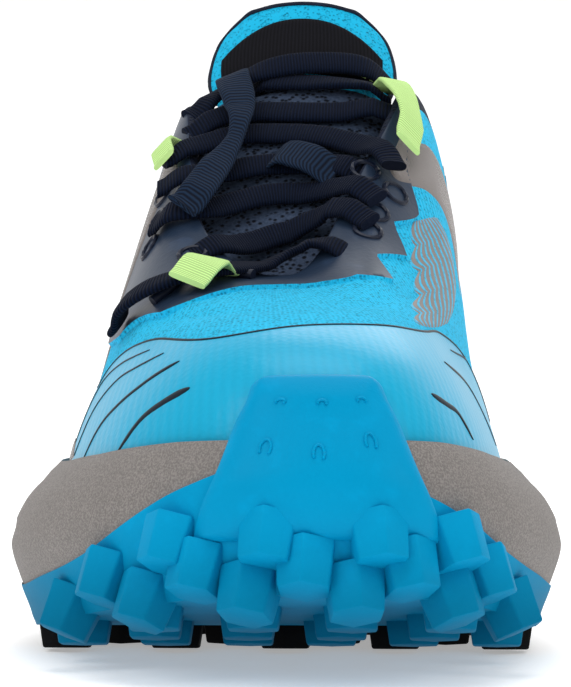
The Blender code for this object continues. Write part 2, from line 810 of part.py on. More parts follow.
def route(points, step):
    """Even samples in plan of a smooth route through points given as (out, along) shares."""
    corners = [plan(along, out) for out, along in points]
    fine = [catmull(corners, number / ROUTE_STEPS, cyclic=False)
            for number in range(ROUTE_STEPS * (len(corners) - 1) + 1)]
    length = sum((b - a).length for a, b in zip(fine, fine[1:]))
    count = max(round(length / step), 2)
    samples, walked, index = [fine[0]], 0.0, 0
    for number in range(1, count):
        target = length * number / count
        while walked + (fine[index + 1] - fine[index]).length < target:
            walked += (fine[index + 1] - fine[index]).length
            index += 1
        share = (target - walked) / (fine[index + 1] - fine[index]).length
        samples.append(fine[index].lerp(fine[index + 1], share))
    return samples + [fine[-1]]


def band_frames(points, supports, width, lift):
    """Centre, sideways and upward directions along a band laid over the supports."""
    samples = route(points, BAND_STEP)
    hits = []
    for number, sample in enumerate(samples):
        ahead = samples[min(number + 1, len(samples) - 1)] - samples[max(number - 1, 0)]
        side = Vector((-ahead.y, ahead.x, 0)).normalized() * width / 2
        reach = ahead.normalized() * BAND_STEP / 2
        found = {}
        for across in (-1, -0.5, 0, 0.5, 1):
            near = [drape(supports, sample + side * across + reach * part) for part in (-1, 0, 1)]
            found[across] = max((height for height in near if height is not None), default=None)
        known = max(height for height in found.values() if height is not None)
        left, right = (known if found[end] is None else found[end] for end in (1, -1))
        tilt = min(max(left - right, -width), width)
        side.z = tilt / 2
        over = [height - tilt / 2 * across for across, height in found.items() if height is not None]
        hits.append((sample, side.normalized(), max(over)))
    heights = [hit[2] for hit in hits]
    wide = [max(heights[max(n - 1, 0):n + 2]) for n in range(len(heights))]
    frames = []
    for number, (sample, side, height) in enumerate(hits):
        near = wide[max(number - 1, 0):number + 2]
        centre = Vector((sample.x, sample.y, max(sum(near) / len(near), height)))
        frames.append((centre, side))
    placed = []
    for number, (centre, side) in enumerate(frames):
        ahead = frames[min(number + 1, len(frames) - 1)][0] - frames[max(number - 1, 0)][0]
        up = ahead.cross(side)
        up = (up if up.z > 0 else -up).normalized()
        placed.append((centre + up * lift, side, up))
    return placed


def oval(width, thickness):
    """Cross-section of a flat lace, as (sideways, up) pairs."""
    pairs = []
    for number in range(8):
        angle = math.radians(22.5 + 45 * number)
        across, high = math.cos(angle), math.sin(angle)
        pairs.append((math.copysign(abs(across) ** 0.6, across) * width / 2,
                      math.copysign(abs(high) ** 0.8, high) * thickness / 2))
    return pairs


def strip(width, thickness):
    """Cross-section of webbing."""
    half, deep = width / 2, thickness / 2
    return [(half, -deep), (half, deep), (-half, deep), (-half, -deep)]


def band_mesh(name, frames, section, material):
    """Closed mesh of one section carried along the frames."""
    shell = Shell()
    rows = [shell.row([centre + side * across + up * high for across, high in section])
            for centre, side, up in frames]
    shell.skin(rows)
    shell.mesh.faces.new(rows[0])
    shell.mesh.faces.new(rows[-1])
    return shell.finish(name, material)


def lace(name, supports, runs, material):
    """One lace bar, or several that cross, joined."""
    section = oval(LACE_WIDTH, LACE_THICKNESS)
    lift = LACE_THICKNESS / 2 + LACE_CLEARANCE
    made = []
    for number, points in enumerate(runs):
        frames = band_frames(points, supports, LACE_WIDTH, lift)
        made.append(band_mesh(name if not number else f"{name}_branch_{number}", frames,
                              section, material))
    join_branches(made)
    return made


def join_branches(made):
    for branch in made[1:]:
        joined = made[0].modifiers.new("crossing", "BOOLEAN")
        joined.operation = "UNION"
        joined.object = branch
        branch.hide_render = True
        branch.display_type = "WIRE"
        PARTS.objects.unlink(branch)
        TOOLS.objects.link(branch)


def webbing(name, supports, runs, material):
    """Webbing laid over the laces, its runs joined where they meet."""
    lift = WEBBING_THICKNESS / 2 + GAP
    made = []
    for number, (width, points) in enumerate(runs):
        frames = band_frames(points, supports, width * MM, lift)
        made.append(band_mesh(name if not number else f"{name}_branch_{number}", frames,
                              strip(width * MM, WEBBING_THICKNESS), material))
    join_branches(made)


for old in list(bpy.data.objects):
    bpy.data.objects.remove(old)
PARTS = bpy.data.collections.new("trail_running_shoe")
TOOLS = bpy.data.collections.new("cutters")
bpy.context.scene.collection.children.link(PARTS)
bpy.context.scene.collection.children.link(TOOLS)

NAVY_LACE = surface("lace_navy", (0.012, 0.022, 0.06), 0.85)

UPPER = make_upper()
make_midsole()
make_insole()
SPLIT_BACK = [around - 1 for around in AROUND[RING_COLUMNS - SPLIT_COLUMN:]]
FRONT = tray("outsole_front", AROUND[SPLIT_COLUMN:RING_COLUMNS - SPLIT_COLUMN + 1], True,
             surface("rubber_blue", (0.02, 0.36, 0.72), 0.45))
add_lugs(FRONT, "lugs_front", FRONT_TREAD, TOE_LUG_PITCH, TOE_LUGS)
REAR = tray("outsole_rear", SPLIT_BACK + AROUND[:SPLIT_COLUMN + 1], False,
            surface("rubber_black", (0.012, 0.012, 0.013), 0.6))
add_lugs(REAR, "lugs_rear", REAR_TREAD, LUG_PITCH, ())
TONGUE = make_tongue()
LABEL = make_label()
UNDER = [support_of(made) for made in (UPPER, TONGUE, LABEL)]
LACED = list(UNDER)
for lace_name, runs in LACES.items():
    LACED.extend(support_of(bar) for bar in lace(lace_name, UNDER, runs, NAVY_LACE))
for web_name, (colour, runs) in WEBBING.items():
    webbing(web_name, LACED, runs, surface(web_name, colour, 0.8))
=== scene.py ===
import json
import math
from collections import namedtuple
from functools import lru_cache

import bmesh
import bpy
from bpy.props import FloatProperty, FloatVectorProperty, PointerProperty
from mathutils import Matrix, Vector
from mathutils.bvhtree import BVHTree

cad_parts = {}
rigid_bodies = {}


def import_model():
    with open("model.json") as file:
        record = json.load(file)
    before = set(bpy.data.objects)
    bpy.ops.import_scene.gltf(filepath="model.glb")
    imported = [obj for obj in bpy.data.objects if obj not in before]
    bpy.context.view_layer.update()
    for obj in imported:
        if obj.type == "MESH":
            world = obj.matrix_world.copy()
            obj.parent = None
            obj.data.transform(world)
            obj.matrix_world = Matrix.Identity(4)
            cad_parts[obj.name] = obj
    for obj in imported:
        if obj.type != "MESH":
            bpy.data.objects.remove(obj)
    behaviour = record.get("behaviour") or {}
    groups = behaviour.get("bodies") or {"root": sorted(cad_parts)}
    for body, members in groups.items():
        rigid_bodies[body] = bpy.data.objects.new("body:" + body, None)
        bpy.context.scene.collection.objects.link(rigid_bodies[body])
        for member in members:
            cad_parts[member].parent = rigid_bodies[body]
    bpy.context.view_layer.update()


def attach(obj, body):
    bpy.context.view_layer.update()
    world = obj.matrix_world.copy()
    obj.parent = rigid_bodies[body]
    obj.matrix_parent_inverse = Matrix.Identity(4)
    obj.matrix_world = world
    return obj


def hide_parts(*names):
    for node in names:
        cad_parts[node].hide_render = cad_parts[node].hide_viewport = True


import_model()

bl_info = {
    "name": "Trail running shoe",
    "version": (1, 0, 0),
    "blender": (4, 5, 0),
    "location": "3D View > Sidebar > Shoe",
    "description": "Dresses the solids of a trail running shoe with knit, film, foam, rubber and laces",
    "category": "Mesh",
}

MM = 0.001
MERGE = 0.01 * MM

# The shoe's main sizes, and the space left between pieces.
SHOE_LENGTH = 302 * MM
BALL_WIDTH = 95 * MM
INSTEP_HEIGHT = 119 * MM
HEEL_HEIGHT = 104 * MM
SOLE_FLARE = 10.5 * MM
TOE_SPRING = 16 * MM
HEEL_BEVEL = 7 * MM
GAP = 0.3 * MM

# The upper's wall, the steps of its overlays and the eyestay's fingers. Shares are along a rib:
# CAP_LEAST and KNIT_LEAST are the least film and knit there, and a step lower than FILM_SHOWS
# or STAY_SHOWS takes the finish of what is under it.
WALL = 2.0 * MM
COLLAR_PAD = 6 * MM
CAP_STEP = 0.7 * MM
EYESTAY_STEP = 0.9 * MM
FINGER_REACH = 0.09
FINGER_TIP = 0.86
LIP = 0.005
PAD_RANGE = (0.45, 0.95)
CAP_LEAST = 0.04
CAP_FADE = (0.04, 0.12)
KNIT_LEAST = 0.12
STAY_LAST = 0.95
STAY_NONE = 0.99
STAY_FADE = (0.01, 0.08)
ROLL_FROM = 0.97
FILM_SHOWS = 0.1 * MM
STAY_SHOWS = 0.3 * MM

# The sole: rubber, rim, footbed and lugs. TOE_LUG_SUNK is in mm.
LUG_HEIGHT = 4.5 * MM
OUTSOLE_WALL = 2.0 * MM
FLANGE_WALL = 0.9 * MM
RIM_WIDTH = 2.6 * MM
INSOLE_THICKNESS = 4 * MM
INSOLE_FIT = 1.0 * MM
SPLIT_GAP = 0.6 * MM
LUG_WIDTH = 13 * MM
LUG_PITCH = 19 * MM
TOE_LUG_PITCH = 15 * MM
LUG_TIP = 0.43
LUG_MARGIN = 0.46
LUG_SIDES = 6
LUG_ROOT = 1 * MM
LUG_BEVEL = 0.45 * MM
TOE_LUG_SUNK = 3.2
TOE_LUG_LEAN = 0.55
TOE_LUG_TALL = 1.9
FRONT_TREAD = (0.095, 0.205)
REAR_TREAD = (0.285, 0.945)
FRONT_ARC = (0.3225, 0.6775)
FLANGE_THINS = 0.55
EDGE_OUT = 0.3
SIDE_ROUND = 0.9 * MM
SIDE_ROUND_FROM = 0.94
CHANNEL_FADE = (0.14, 0.22)

# The tongue, its binding and its label. LABEL_FROM and LABEL_HIGH count rows of the net.
TONGUE_WALL = 4 * MM
TONGUE_PAD = 4 * MM
TONGUE_TUCK = 7 * MM
TONGUE_FIT = 1.5 * MM
LABEL_THICKNESS = 0.8 * MM
LABEL_WALL = 0.5 * MM
LABEL_INSET = 0.09
LABEL_FROM = 3.40
LABEL_HIGH = 1.95
LABEL_BOW = 1.05
LABEL_CURVE = 2.4
BINDING_RADIUS = 0.5 * MM
BINDING_ROWS = (30, 24, 18, 12, 7, 3)
BINDING_COLUMNS = (4, 8, 14, 20, 26, 32, 36)

# Laces, webbing, piping, eyelets and stitched or moulded lines.
LACE_WIDTH = 6.5 * MM
LACE_THICKNESS = 2.0 * MM
LACE_CLEARANCE = 0.5 * MM
WEBBING_THICKNESS = 1.2 * MM
BAND_STEP = 1.6 * MM
NEAR = 2.0 * MM
END_DIVE = 3.2 * MM
DIVE_STEPS = 3.5
PINCH_PLACE = 0.52
PINCH_LENGTH = 0.16
PINCH_DEPTH = 0.5
BAND_UV_LENGTH = 0.1
PIPING_RADIUS = 1.3 * MM
PIPING_LIFT = 0.7 * MM
CAP_LINE_WIDTH = 0.8 * MM
CAP_LINE_DROP = 0.004
COLLAR_SEAM_WIDTH = 0.7 * MM
HEEL_SEAM_WIDTH = 1.6 * MM
SLASH_NARROWS = 0.35
LINE_SUNK = 0.12 * MM
FILM_RISE = 0.45 * MM
FILM_SUNK = 0.1 * MM
STRIPED_LOBES = 0.16
MARK_RADIUS = 0.30 * MM
MARK_PROUD = 0.10 * MM
EYELET_RADIUS = 2.9 * MM
EYELET_RIM = 0.55 * MM
EYELET_POINTS = 16
EYELET_LACES = ("lace_low", "lace_middle", "lace_return", "lace_wide")

# How finely the pieces are divided, and how many steps searches and routes take.
RING = 432
SOLE_RING = 288
SIDE_ROWS, RIM_ROWS = 30, 8
TRAY_COLUMNS, TRAY_ROWS, UNDER_ROWS = 150, 10, 12
SHIELD_COLUMNS, SHIELD_ROWS = 64, 48
TONGUE_COLUMNS, TONGUE_ROWS = 40, 90
LABEL_COLUMNS, LABEL_ROWS = 48, 20
BAND_POINTS = 20
FILM_COLUMNS, FILM_ROWS = 24, 70
LINE_COLUMNS = 4
SEAM_STEPS, HEEL_STEPS = 40, 12
MARK_POINTS = 8
TUBE_STEPS = 6
SEARCH_STEPS = 24
ROUTE_STEPS = 16

# One row for each rib, in even steps round the shoe from the heel along the outer side.
# foot_*: the feather line, as shares of the length and of half the ball width.
# top_*: the topline, likewise; high is a share of the instep or heel height named by "of".
# swell, rise, reach, drop: the rib's handles in mm, out and up at the feather,
# towards the feather and down at the topline.
# flare: share of the sole's flare; wrap: share of the sole's side under rubber.
# cap, stay: shares along the rib where the toe cap ends and the eyestay starts.
Rib = namedtuple("Rib", "foot_along foot_out top_along top_out high of "
                        "swell rise reach drop pad flare wrap cap stay")
RIBS = [
    Rib(0.970, 0.06, 0.954, 0.06, 1.000, "heel", 6.0, 24, 8, 22, 1.0, 0.75, 0.22, 0.0, 1.00),
    Rib(0.950, -0.36, 0.930, -0.28, 0.995, "heel", 6.0, 24, 7, 22, 1.0, 0.80, 0.20, 0.0, 1.00),
    Rib(0.868, -0.62, 0.861, -0.53, 0.942, "heel", 5.0, 22, 7, 20, 1.0, 0.85, 0.18, 0.0, 1.00),
    Rib(0.768, -0.67, 0.775, -0.62, 0.846, "heel", 4.0, 20, 6, 16, 1.0, 0.80, 0.18, 0.0, 1.00),
    Rib(0.656, -0.72, 0.665, -0.64, 0.850, "heel", 4.0, 18, 7, 16, 0.9, 0.75, 0.18, 0.0, 1.00),
    Rib(0.536, -0.84, 0.570, -0.60, 0.890, "instep", 2.5, 15, 8, 18, 0.7, 0.85, 0.20, 0.0, 0.97),
    Rib(0.424, -0.95, 0.505, -0.52, 0.965, "instep", 1.0, 12, 10, 20, 0.3, 1.00, 0.24, 0.0, 0.62),
    Rib(0.321, -1.00, 0.435, -0.47, 0.862, "instep", 0.5, 11, 13, 15, 0.0, 1.00, 0.20, 0.18, 0.52),
    Rib(0.219, -0.88, 0.370, -0.41, 0.750, "instep", 0.5, 18, 20, 12, 0.0, 0.92, 0.22, 0.47, 0.575),
    Rib(0.126, -0.63, 0.328, -0.25, 0.676, "instep", 0.5, 27, 32, 8, 0.0, 0.72, 0.33, 0.548, 0.70),
    Rib(0.060, -0.26, 0.315, -0.12, 0.655, "instep", 0.5, 36, 46, 8, 0.0, 0.50, 0.70, 0.468, 0.88),
    Rib(0.033, 0.18, 0.313, -0.03, 0.651, "instep", 0.5, 38, 50, 8, 0.0, 0.42, 0.92, 0.51, 0.915),
    Rib(0.050, 0.56, 0.317, 0.07, 0.658, "instep", 0.5, 36, 46, 8, 0.0, 0.50, 0.64, 0.535, 0.90),
    Rib(0.113, 0.82, 0.334, 0.16, 0.695, "instep", 0.5, 28, 32, 8, 0.0, 0.72, 0.32, 0.545, 0.830),
    Rib(0.205, 0.96, 0.374, 0.26, 0.778, "instep", 0.5, 19, 20, 12, 0.0, 0.92, 0.22, 0.545, 0.825),
    Rib(0.291, 0.99, 0.434, 0.39, 0.892, "instep", 0.5, 12, 14, 15, 0.0, 1.00, 0.20, 0.40, 0.835),
    Rib(0.404, 0.91, 0.505, 0.545, 1.000, "instep", 1.0, 13, 11, 20, 0.3, 0.95, 0.24, 0.0, 0.97),
    Rib(0.523, 0.76, 0.570, 0.65, 0.925, "instep", 3.0, 16, 9, 18, 0.7, 0.80, 0.20, 0.0, 0.97),
    Rib(0.649, 0.70, 0.675, 0.69, 0.885, "heel", 4.0, 18, 7, 16, 0.9, 0.75, 0.18, 0.0, 1.00),
    Rib(0.768, 0.76, 0.775, 0.69, 0.885, "heel", 4.0, 20, 6, 16, 1.0, 0.80, 0.18, 0.0, 1.00),
    Rib(0.868, 0.76, 0.861, 0.63, 0.962, "heel", 5.0, 22, 7, 20, 1.0, 0.85, 0.18, 0.0, 1.00),
    Rib(0.950, 0.52, 0.930, 0.40, 1.000, "heel", 6.0, 24, 7, 22, 1.0, 0.80, 0.20, 0.0, 1.00),
]
RIB_COUNT = len(RIBS)
TOE_PLACE = 0.5
STAY_TOPS = (6, 16)

# Lugs that climb the toe: height on the sole's side and places either way from the toe.
TOE_LUGS = (
    (0.42, (-0.050, -0.014, 0.026, 0.058)),
    (0.22, (-0.080, -0.040, -0.001, 0.038, 0.076)),
    (0.05, (-0.108, -0.064, -0.022, 0.018, 0.060, 0.102)),
)

# Free upper end of the tongue, from the eyestay's top: along and out as shares of the length
# and half the ball width, high as a share of the instep height, droop of its sides in mm.
TongueRow = namedtuple("TongueRow", "along high out droop")
TONGUE_TOP = [
    TongueRow(0.510, 1.010, 0.41, 5.0),
    TongueRow(0.528, 1.068, 0.46, 5.0),
    TongueRow(0.545, 1.125, 0.45, 5.0),
    TongueRow(0.556, 1.165, 0.39, 4.0),
    TongueRow(0.560, 1.183, 0.27, 2.0),
]

# Laces over the tongue, from the toe up. Each point is (out, along) as shares of half the ball
# width and of the length.
LACES = {
    "lace_bottom": [[(0.30, 0.322), (0.10, 0.330), (-0.12, 0.312), (-0.26, 0.290), (-0.42, 0.274),
                     (-0.62, 0.277), (-0.77, 0.297)]],
    "lace_low": [[(-0.42, 0.330), (-0.30, 0.341), (-0.13, 0.362), (0.06, 0.373), (0.22, 0.368),
                  (0.36, 0.350)]],
    "lace_middle": [[(-0.64, 0.385), (-0.46, 0.376), (-0.27, 0.392), (-0.06, 0.404),
                     (0.11, 0.402), (0.25, 0.392), (0.39, 0.372)]],
    "lace_return": [[(-0.62, 0.412), (-0.42, 0.415), (-0.21, 0.425), (0.0, 0.429), (0.19, 0.421),
                     (0.34, 0.406)]],
    "lace_wide": [[(-0.60, 0.436), (-0.44, 0.446), (-0.23, 0.458), (-0.06, 0.456), (0.11, 0.449),
                   (0.32, 0.433), (0.48, 0.402)]],
    "lace_high": [[(-0.50, 0.462), (-0.36, 0.474), (-0.21, 0.480), (0.02, 0.474), (0.25, 0.474),
                   (0.47, 0.472)]],
    "lace_top": [[(-0.49, 0.485), (-0.40, 0.499), (-0.29, 0.509), (-0.06, 0.513), (0.15, 0.519),
                  (0.32, 0.521), (0.46, 0.516)],
                 [(-0.24, 0.515), (-0.10, 0.508), (0.12, 0.502), (0.30, 0.499), (0.45, 0.498)]],
}

# The tongue under the eyestay: its rows' places along the shoe, points across and crown, and
# the eyestay's fingers, counted in ribs.
TONGUE_ALONG = (0.332, 0.352, 0.385, 0.420, 0.455, 0.485)
TONGUE_CENTRE = 0.015
TONGUE_ACROSS = 9
TONGUE_CROWN = 0.28
TUCK_SHARE = 0.10
FIRST_FINGER = 12.93
LAST_FINGER = 15.27
FINGERS = 3

# The sole's bed and rim over the floor in mm, at shares of the length from the toe.
Level = namedtuple("Level", "along bed rim")
LEVELS = [
    Level(0.00, 36.5, 48.5),
    Level(0.07, 33.5, 46.5),
    Level(0.15, 29.5, 43.0),
    Level(0.23, 26.5, 40.5),
    Level(0.32, 24.5, 39.0),
    Level(0.43, 25.0, 39.0),
    Level(0.58, 27.0, 41.0),
    Level(0.73, 29.0, 44.0),
    Level(0.88, 30.0, 46.0),
    Level(1.00, 31.0, 48.0),
]

# Outline of the midsole's side from its bottom edge to the rim, in even steps of height,
# as shares of the flare.
BELLY = (0.42, 0.80, 1.0, 0.68, 0.0)

# The tread is flat between these shares of the length.
FLAT_FROM = 0.315
FLAT_TO = 0.90
SPRING_CURVE = 1.4

# Lime webbing and the keeper's tape: width in mm and a route like the laces'.
LOOPS = {
    "loop_vamp": (9, [(-0.40, 0.250), (-0.34, 0.270), (-0.28, 0.292)]),
    "loop_left": (6, [(-0.57, 0.464), (-0.60, 0.447), (-0.63, 0.430)]),
    "loop_right": (7, [(0.42, 0.505), (0.50, 0.468), (0.57, 0.432)]),
}
TAPES = {
    "lace_keeper": (8, [(-0.31, 0.514), (-0.29, 0.487), (-0.25, 0.457), (-0.26, 0.430),
                        (-0.35, 0.398), (-0.46, 0.362)]),
    "lace_keeper_tail": (9, [(-0.13, 0.430), (0.02, 0.420), (0.20, 0.404)]),
}

# Soft creases of the knit: middle and half length round the shoe, middle and half width up
# a rib, and depth in mm, with ridges below zero.
Crease = namedtuple("Crease", "around length share width depth")
CREASES = [
    Crease(0.430, 0.045, 0.660, 0.030, 0.55),
    Crease(0.420, 0.040, 0.735, 0.026, -0.35),
    Crease(0.575, 0.040, 0.700, 0.030, 0.60),
    Crease(0.600, 0.034, 0.765, 0.024, -0.40),
    Crease(0.300, 0.030, 0.420, 0.060, 0.70),
    Crease(0.700, 0.034, 0.420, 0.060, 0.70),
    Crease(0.200, 0.045, 0.560, 0.070, 0.80),
    Crease(0.800, 0.045, 0.560, 0.070, 0.80),
]

# Channels along the midsole's side: height, half width and bow as shares of it, depth in mm.
Channel = namedtuple("Channel", "share width bow depth")
CHANNELS = [
    Channel(0.66, 0.030, -0.10, 1.1),
    Channel(0.44, 0.040, 0.12, 0.9),
    Channel(0.88, 0.014, 0.0, 0.5),
]

# Lines moulded in the toe cap's film: width in mm, then places as (around, share).
SLASHES = [
    (2.2, [(0.448, 0.280), (0.4344, 0.263), (0.4206, 0.235), (0.4067, 0.165)]),
    (1.5, [(0.4394, 0.393), (0.4189, 0.362), (0.3881, 0.297), (0.3725, 0.208)]),
    (0.7, [(0.4261, 0.457), (0.405, 0.440), (0.3886, 0.423), (0.365, 0.350), (0.350, 0.240)]),
    (0.6, [(0.4114, 0.498), (0.385, 0.480), (0.3617, 0.430), (0.345, 0.330), (0.335, 0.230)]),
    (2.2, [(0.5650, 0.272), (0.577, 0.263), (0.5867, 0.253), (0.5964, 0.195)]),
    (1.5, [(0.5992, 0.435), (0.6250, 0.418), (0.6386, 0.390), (0.6500, 0.325), (0.6564, 0.258)]),
    (0.7, [(0.6361, 0.497), (0.6680, 0.462), (0.6880, 0.400), (0.698, 0.300)]),
    (0.6, [(0.6550, 0.505), (0.6880, 0.455), (0.7050, 0.380), (0.712, 0.300)]),
]

# Film down the sides and the striped panel: their two edges as (around, share), from the top.
SIDE_FILMS = {
    "side_film_inner": ([(0.680, 0.930), (0.682, 0.867), (0.711, 0.755), (0.738, 0.647),
                         (0.750, 0.500), (0.755, 0.320), (0.756, 0.130)],
                        [(0.700, 0.940), (0.708, 0.885), (0.760, 0.790), (0.786, 0.680),
                         (0.800, 0.510), (0.812, 0.320), (0.818, 0.130)]),
    "side_film_outer": ([(0.312, 0.930), (0.306, 0.800), (0.304, 0.670), (0.310, 0.540),
                         (0.322, 0.410), (0.338, 0.300), (0.350, 0.235)],
                        [(0.288, 0.940), (0.280, 0.800), (0.280, 0.660), (0.288, 0.530),
                         (0.302, 0.400), (0.320, 0.290), (0.332, 0.225)]),
}
STRIPED = ([(0.682, 0.765), (0.6631, 0.720), (0.6481, 0.670), (0.6200, 0.632), (0.6050, 0.580)],
           [(0.712, 0.705), (0.7250, 0.635), (0.7239, 0.585), (0.7078, 0.552), (0.6700, 0.545)])

# Piping on the vamp's outer side as (around, share), and where the line over the cap ends.
PIPING = [(0.386, 0.690), (0.392, 0.760), (0.394, 0.840), (0.402, 0.905), (0.425, 0.940),
          (0.455, 0.950)]
CAP_LINE = (0.355, 0.700)

# Shield over the toe: height up its face, then half width as a share of the way round. Its
# middle stands at SHIELD_SIDE up the sole's side, then at SHIELD_LIFTS over the rim.
SHIELD = [(0.0, 0.046), (0.25, 0.042), (0.5, 0.036), (0.75, 0.030), (1.0, 0.027)]
SHIELD_SHIFT = 0.005
SHIELD_SIDE = (0.34, 0.56, 0.80)
SHIELD_PROUD = 1.0 * MM
SHIELD_LIFTS = (0.035, 0.085, 0.14)
SHIELD_EDGE = 1.7 * MM
SHIELD_WALL = 1.4 * MM
SHIELD_TURN = 0.86
SHIELD_NARROWS = 0.24

# Stitched lines under the collar, their ends round the shoe and shares up a rib, and the
# heel seam's two ends.
COLLAR_SEAM = (0.775, 1.225)
COLLAR_SHARES = (0.905, 0.875)
HEEL_SEAM = (0.16, 0.86)

# Crescents on the shield, as (across, high), their half width and half height, and the
# angles in degrees that each runs through.
MARKS = [(-0.55, 0.48), (-0.02, 0.46), (0.52, 0.50), (-0.50, 0.72), (0.03, 0.70), (0.55, 0.73)]
MARK_ACROSS, MARK_HIGH = 0.055, 0.030
MARK_START, MARK_TURN = -40, 250

# Colours of threads and ink that no setting changes, as linear light, and the heights in metres
# between which painted shade darkens the rubber towards the floor.
TAPE_THREAD = (0.008, 0.022, 0.052, 1)
HEATHER = ((0.008, 0.016, 0.036, 1), (0.060, 0.085, 0.140, 1))
LABEL_BLACK = (0.004, 0.004, 0.006)
LINE_INK = (0.004, 0.012, 0.022)
RUBBER_PAINTED_SHADE = (0.034, 0.006)

# Studio: lamps as name, place, size and power, the camera in degrees, mm and metres, and the
# sweep's ends, bend and half width in metres.
LIGHTS = (("key", (-0.9, -0.8, 0.9), 0.7, 4.5), ("fill", (1.0, -0.6, 0.7), 0.7, 3.0),
          ("top", (0.0, -0.1, 1.2), 0.9, 6.5), ("back", (0.2, 1.0, 0.9), 0.8, 3.0))
LIGHT_AIM = (0, 0, 0.06)
WORLD_STRENGTH = 0.50
FLOOR_GLOW = 0.36
CAMERA_SIDE, CAMERA_RISE = 2.5, 1.0
CAMERA_LENS, CAMERA_SENSOR = 199.13, 36
CAMERA_TARGET = (0, -0.05587, 0.064)
CAMERA_FAR = 0.8
SWEEP_FRONT, SWEEP_BACK = -3.0, 1.4
SWEEP_BEND = 0.8
SWEEP_HALF = 3.0
SWEEP_FLAT, SWEEP_CURVED, SWEEP_ROWS = 12, 8, 24


def catmull(values, place, cyclic=True):
    """Value at a place counted in rows, on a smooth curve through the rows."""
    count = len(values)
    first = math.floor(place)
    share = place - first

    def row(number):
        if cyclic:
            return values[number % count]
        return values[min(max(number, 0), count - 1)]

    before, start, end, after = (row(first + step) for step in (-1, 0, 1, 2))
    return start + 0.5 * share * (
        end - before
        + share * (2 * before - 5 * start + 4 * end - after
                   + share * (3 * (start - end) + after - before)))


def ramp(value, low, high):
    """Soft step from 0 to 1 between low and high."""
    share = min(max((value - low) / (high - low), 0.0), 1.0)
    return share * share * (3 - 2 * share)


COLUMNS = {name: [getattr(rib, name) for rib in RIBS] for name in Rib._fields if name != "of"}
TOP_SIZES = {"instep": INSTEP_HEIGHT, "heel": HEEL_HEIGHT}
COLUMNS["height"] = [rib.high * TOP_SIZES[rib.of] for rib in RIBS]


def at(name, around):
    """A column of the rib table at a share of the way round the shoe."""
    return catmull(COLUMNS[name], around * RIB_COUNT)


def level(name, along):
    """Bed or rim height at a share of the length."""
    for row, after in zip(LEVELS, LEVELS[1:]):
        if along <= after.along:
            share = (along - row.along) / (after.along - row.along)
            low, high = getattr(row, name), getattr(after, name)
            return (low + (high - low) * min(max(share, 0.0), 1.0)) * MM
    return getattr(LEVELS[-1], name) * MM


def ground(along):
    """Height of the lugs' ends over the floor: toe spring, flat tread, heel bevel."""
    if along < FLAT_FROM:
        return TOE_SPRING * ((FLAT_FROM - along) / FLAT_FROM) ** SPRING_CURVE
    if along > FLAT_TO:
        return HEEL_BEVEL * min((along - FLAT_TO) / (1 - FLAT_TO), 1.0) ** 2
    return 0.0


def plan(along, out):
    """Point on the floor from a share of the length and of half the ball width."""
    return Vector((out * BALL_WIDTH / 2, (along - 0.5) * SHOE_LENGTH, 0))


def along_of(point):
    """Share of the length at which a point lies."""
    return point.y / SHOE_LENGTH + 0.5


def foot(around):
    """Point of the feather line."""
    point = plan(at("foot_along", around), at("foot_out", around))
    point.z = level("bed", along_of(point)) + GAP
    return point


def top(around):
    """Point of the topline."""
    point = plan(at("top_along", around), at("top_out", around))
    point.z = at("height", around)
    return point


def outward(around):
    """Level direction away from the foot at the feather line."""
    step = 0.004
    run = foot(around + step) - foot(around - step)
    return Vector((run.y, -run.x, 0)).normalized()


@lru_cache(maxsize=None)
def rib_curve(around):
    """The four handles of a rib."""
    start, end, away = foot(around), top(around), outward(around)
    lean = start - end + away * 0.01
    lean.z = 0
    lean.normalize()
    first = start + away * at("swell", around) * MM + Vector((0, 0, at("rise", around) * MM))
    last = end + lean * at("reach", around) * MM - Vector((0, 0, at("drop", around) * MM))
    return start, first, last, end


def rib_point(around, share):
    """Point on the last at a share of the way up a rib."""
    start, first, last, end = rib_curve(around)
    rest = 1 - share
    return (start * rest ** 3 + first * 3 * rest ** 2 * share
            + last * 3 * rest * share ** 2 + end * share ** 3)


def rib_normal(around, share):
    """Outward direction of the last's surface."""
    step = 0.003
    across = rib_point(around + step, share) - rib_point(around - step, share)
    low, high = max(share - step, 0), min(share + step, 1)
    up = rib_point(around, high) - rib_point(around, low)
    return across.cross(up).normalized()


def last_point(around, share, offset=0.0):
    """Point a given way off the last."""
    return rib_point(around, share) + rib_normal(around, share) * offset


@lru_cache(maxsize=None)
def rim_share(around):
    """Share along a rib at which it passes the height of the midsole's rim."""
    target = level("rim", along_of(foot(around)))
    low, high = 0.0, 0.9
    for _ in range(SEARCH_STEPS):
        middle = (low + high) / 2
        if rib_point(around, middle).z < target:
            low = middle
        else:
            high = middle
    return high


def finger(around):
    """How far an eyestay finger reaches at this place, 0 between fingers and 1 at a tip."""
    place = (around * RIB_COUNT - FIRST_FINGER) / (LAST_FINGER - FIRST_FINGER)
    if not 0 < place < 1:
        return 0.0
    step = (place * FINGERS) % 1
    return step / FINGER_TIP if step < FINGER_TIP else (1 - step) / (1 - FINGER_TIP)


@lru_cache(maxsize=None)
def cap_edge(around):
    """Share along a rib where the toe cap ends."""
    return max(at("cap", around), rim_share(around) + CAP_LEAST)


@lru_cache(maxsize=None)
def stay_edge(around):
    """Share along a rib where the eyestay starts."""
    edge = at("stay", around) - FINGER_REACH * finger(around)
    return min(max(edge, cap_edge(around) + KNIT_LEAST), STAY_LAST)


@lru_cache(maxsize=None)
def cap_step(around):
    """Height of the toe cap's film over the knit."""
    return CAP_STEP * ramp(at("cap", around), *CAP_FADE)


@lru_cache(maxsize=None)
def stay_step(around):
    """Height of the eyestay over the knit."""
    return EYESTAY_STEP * ramp(STAY_NONE - at("stay", around), *STAY_FADE)


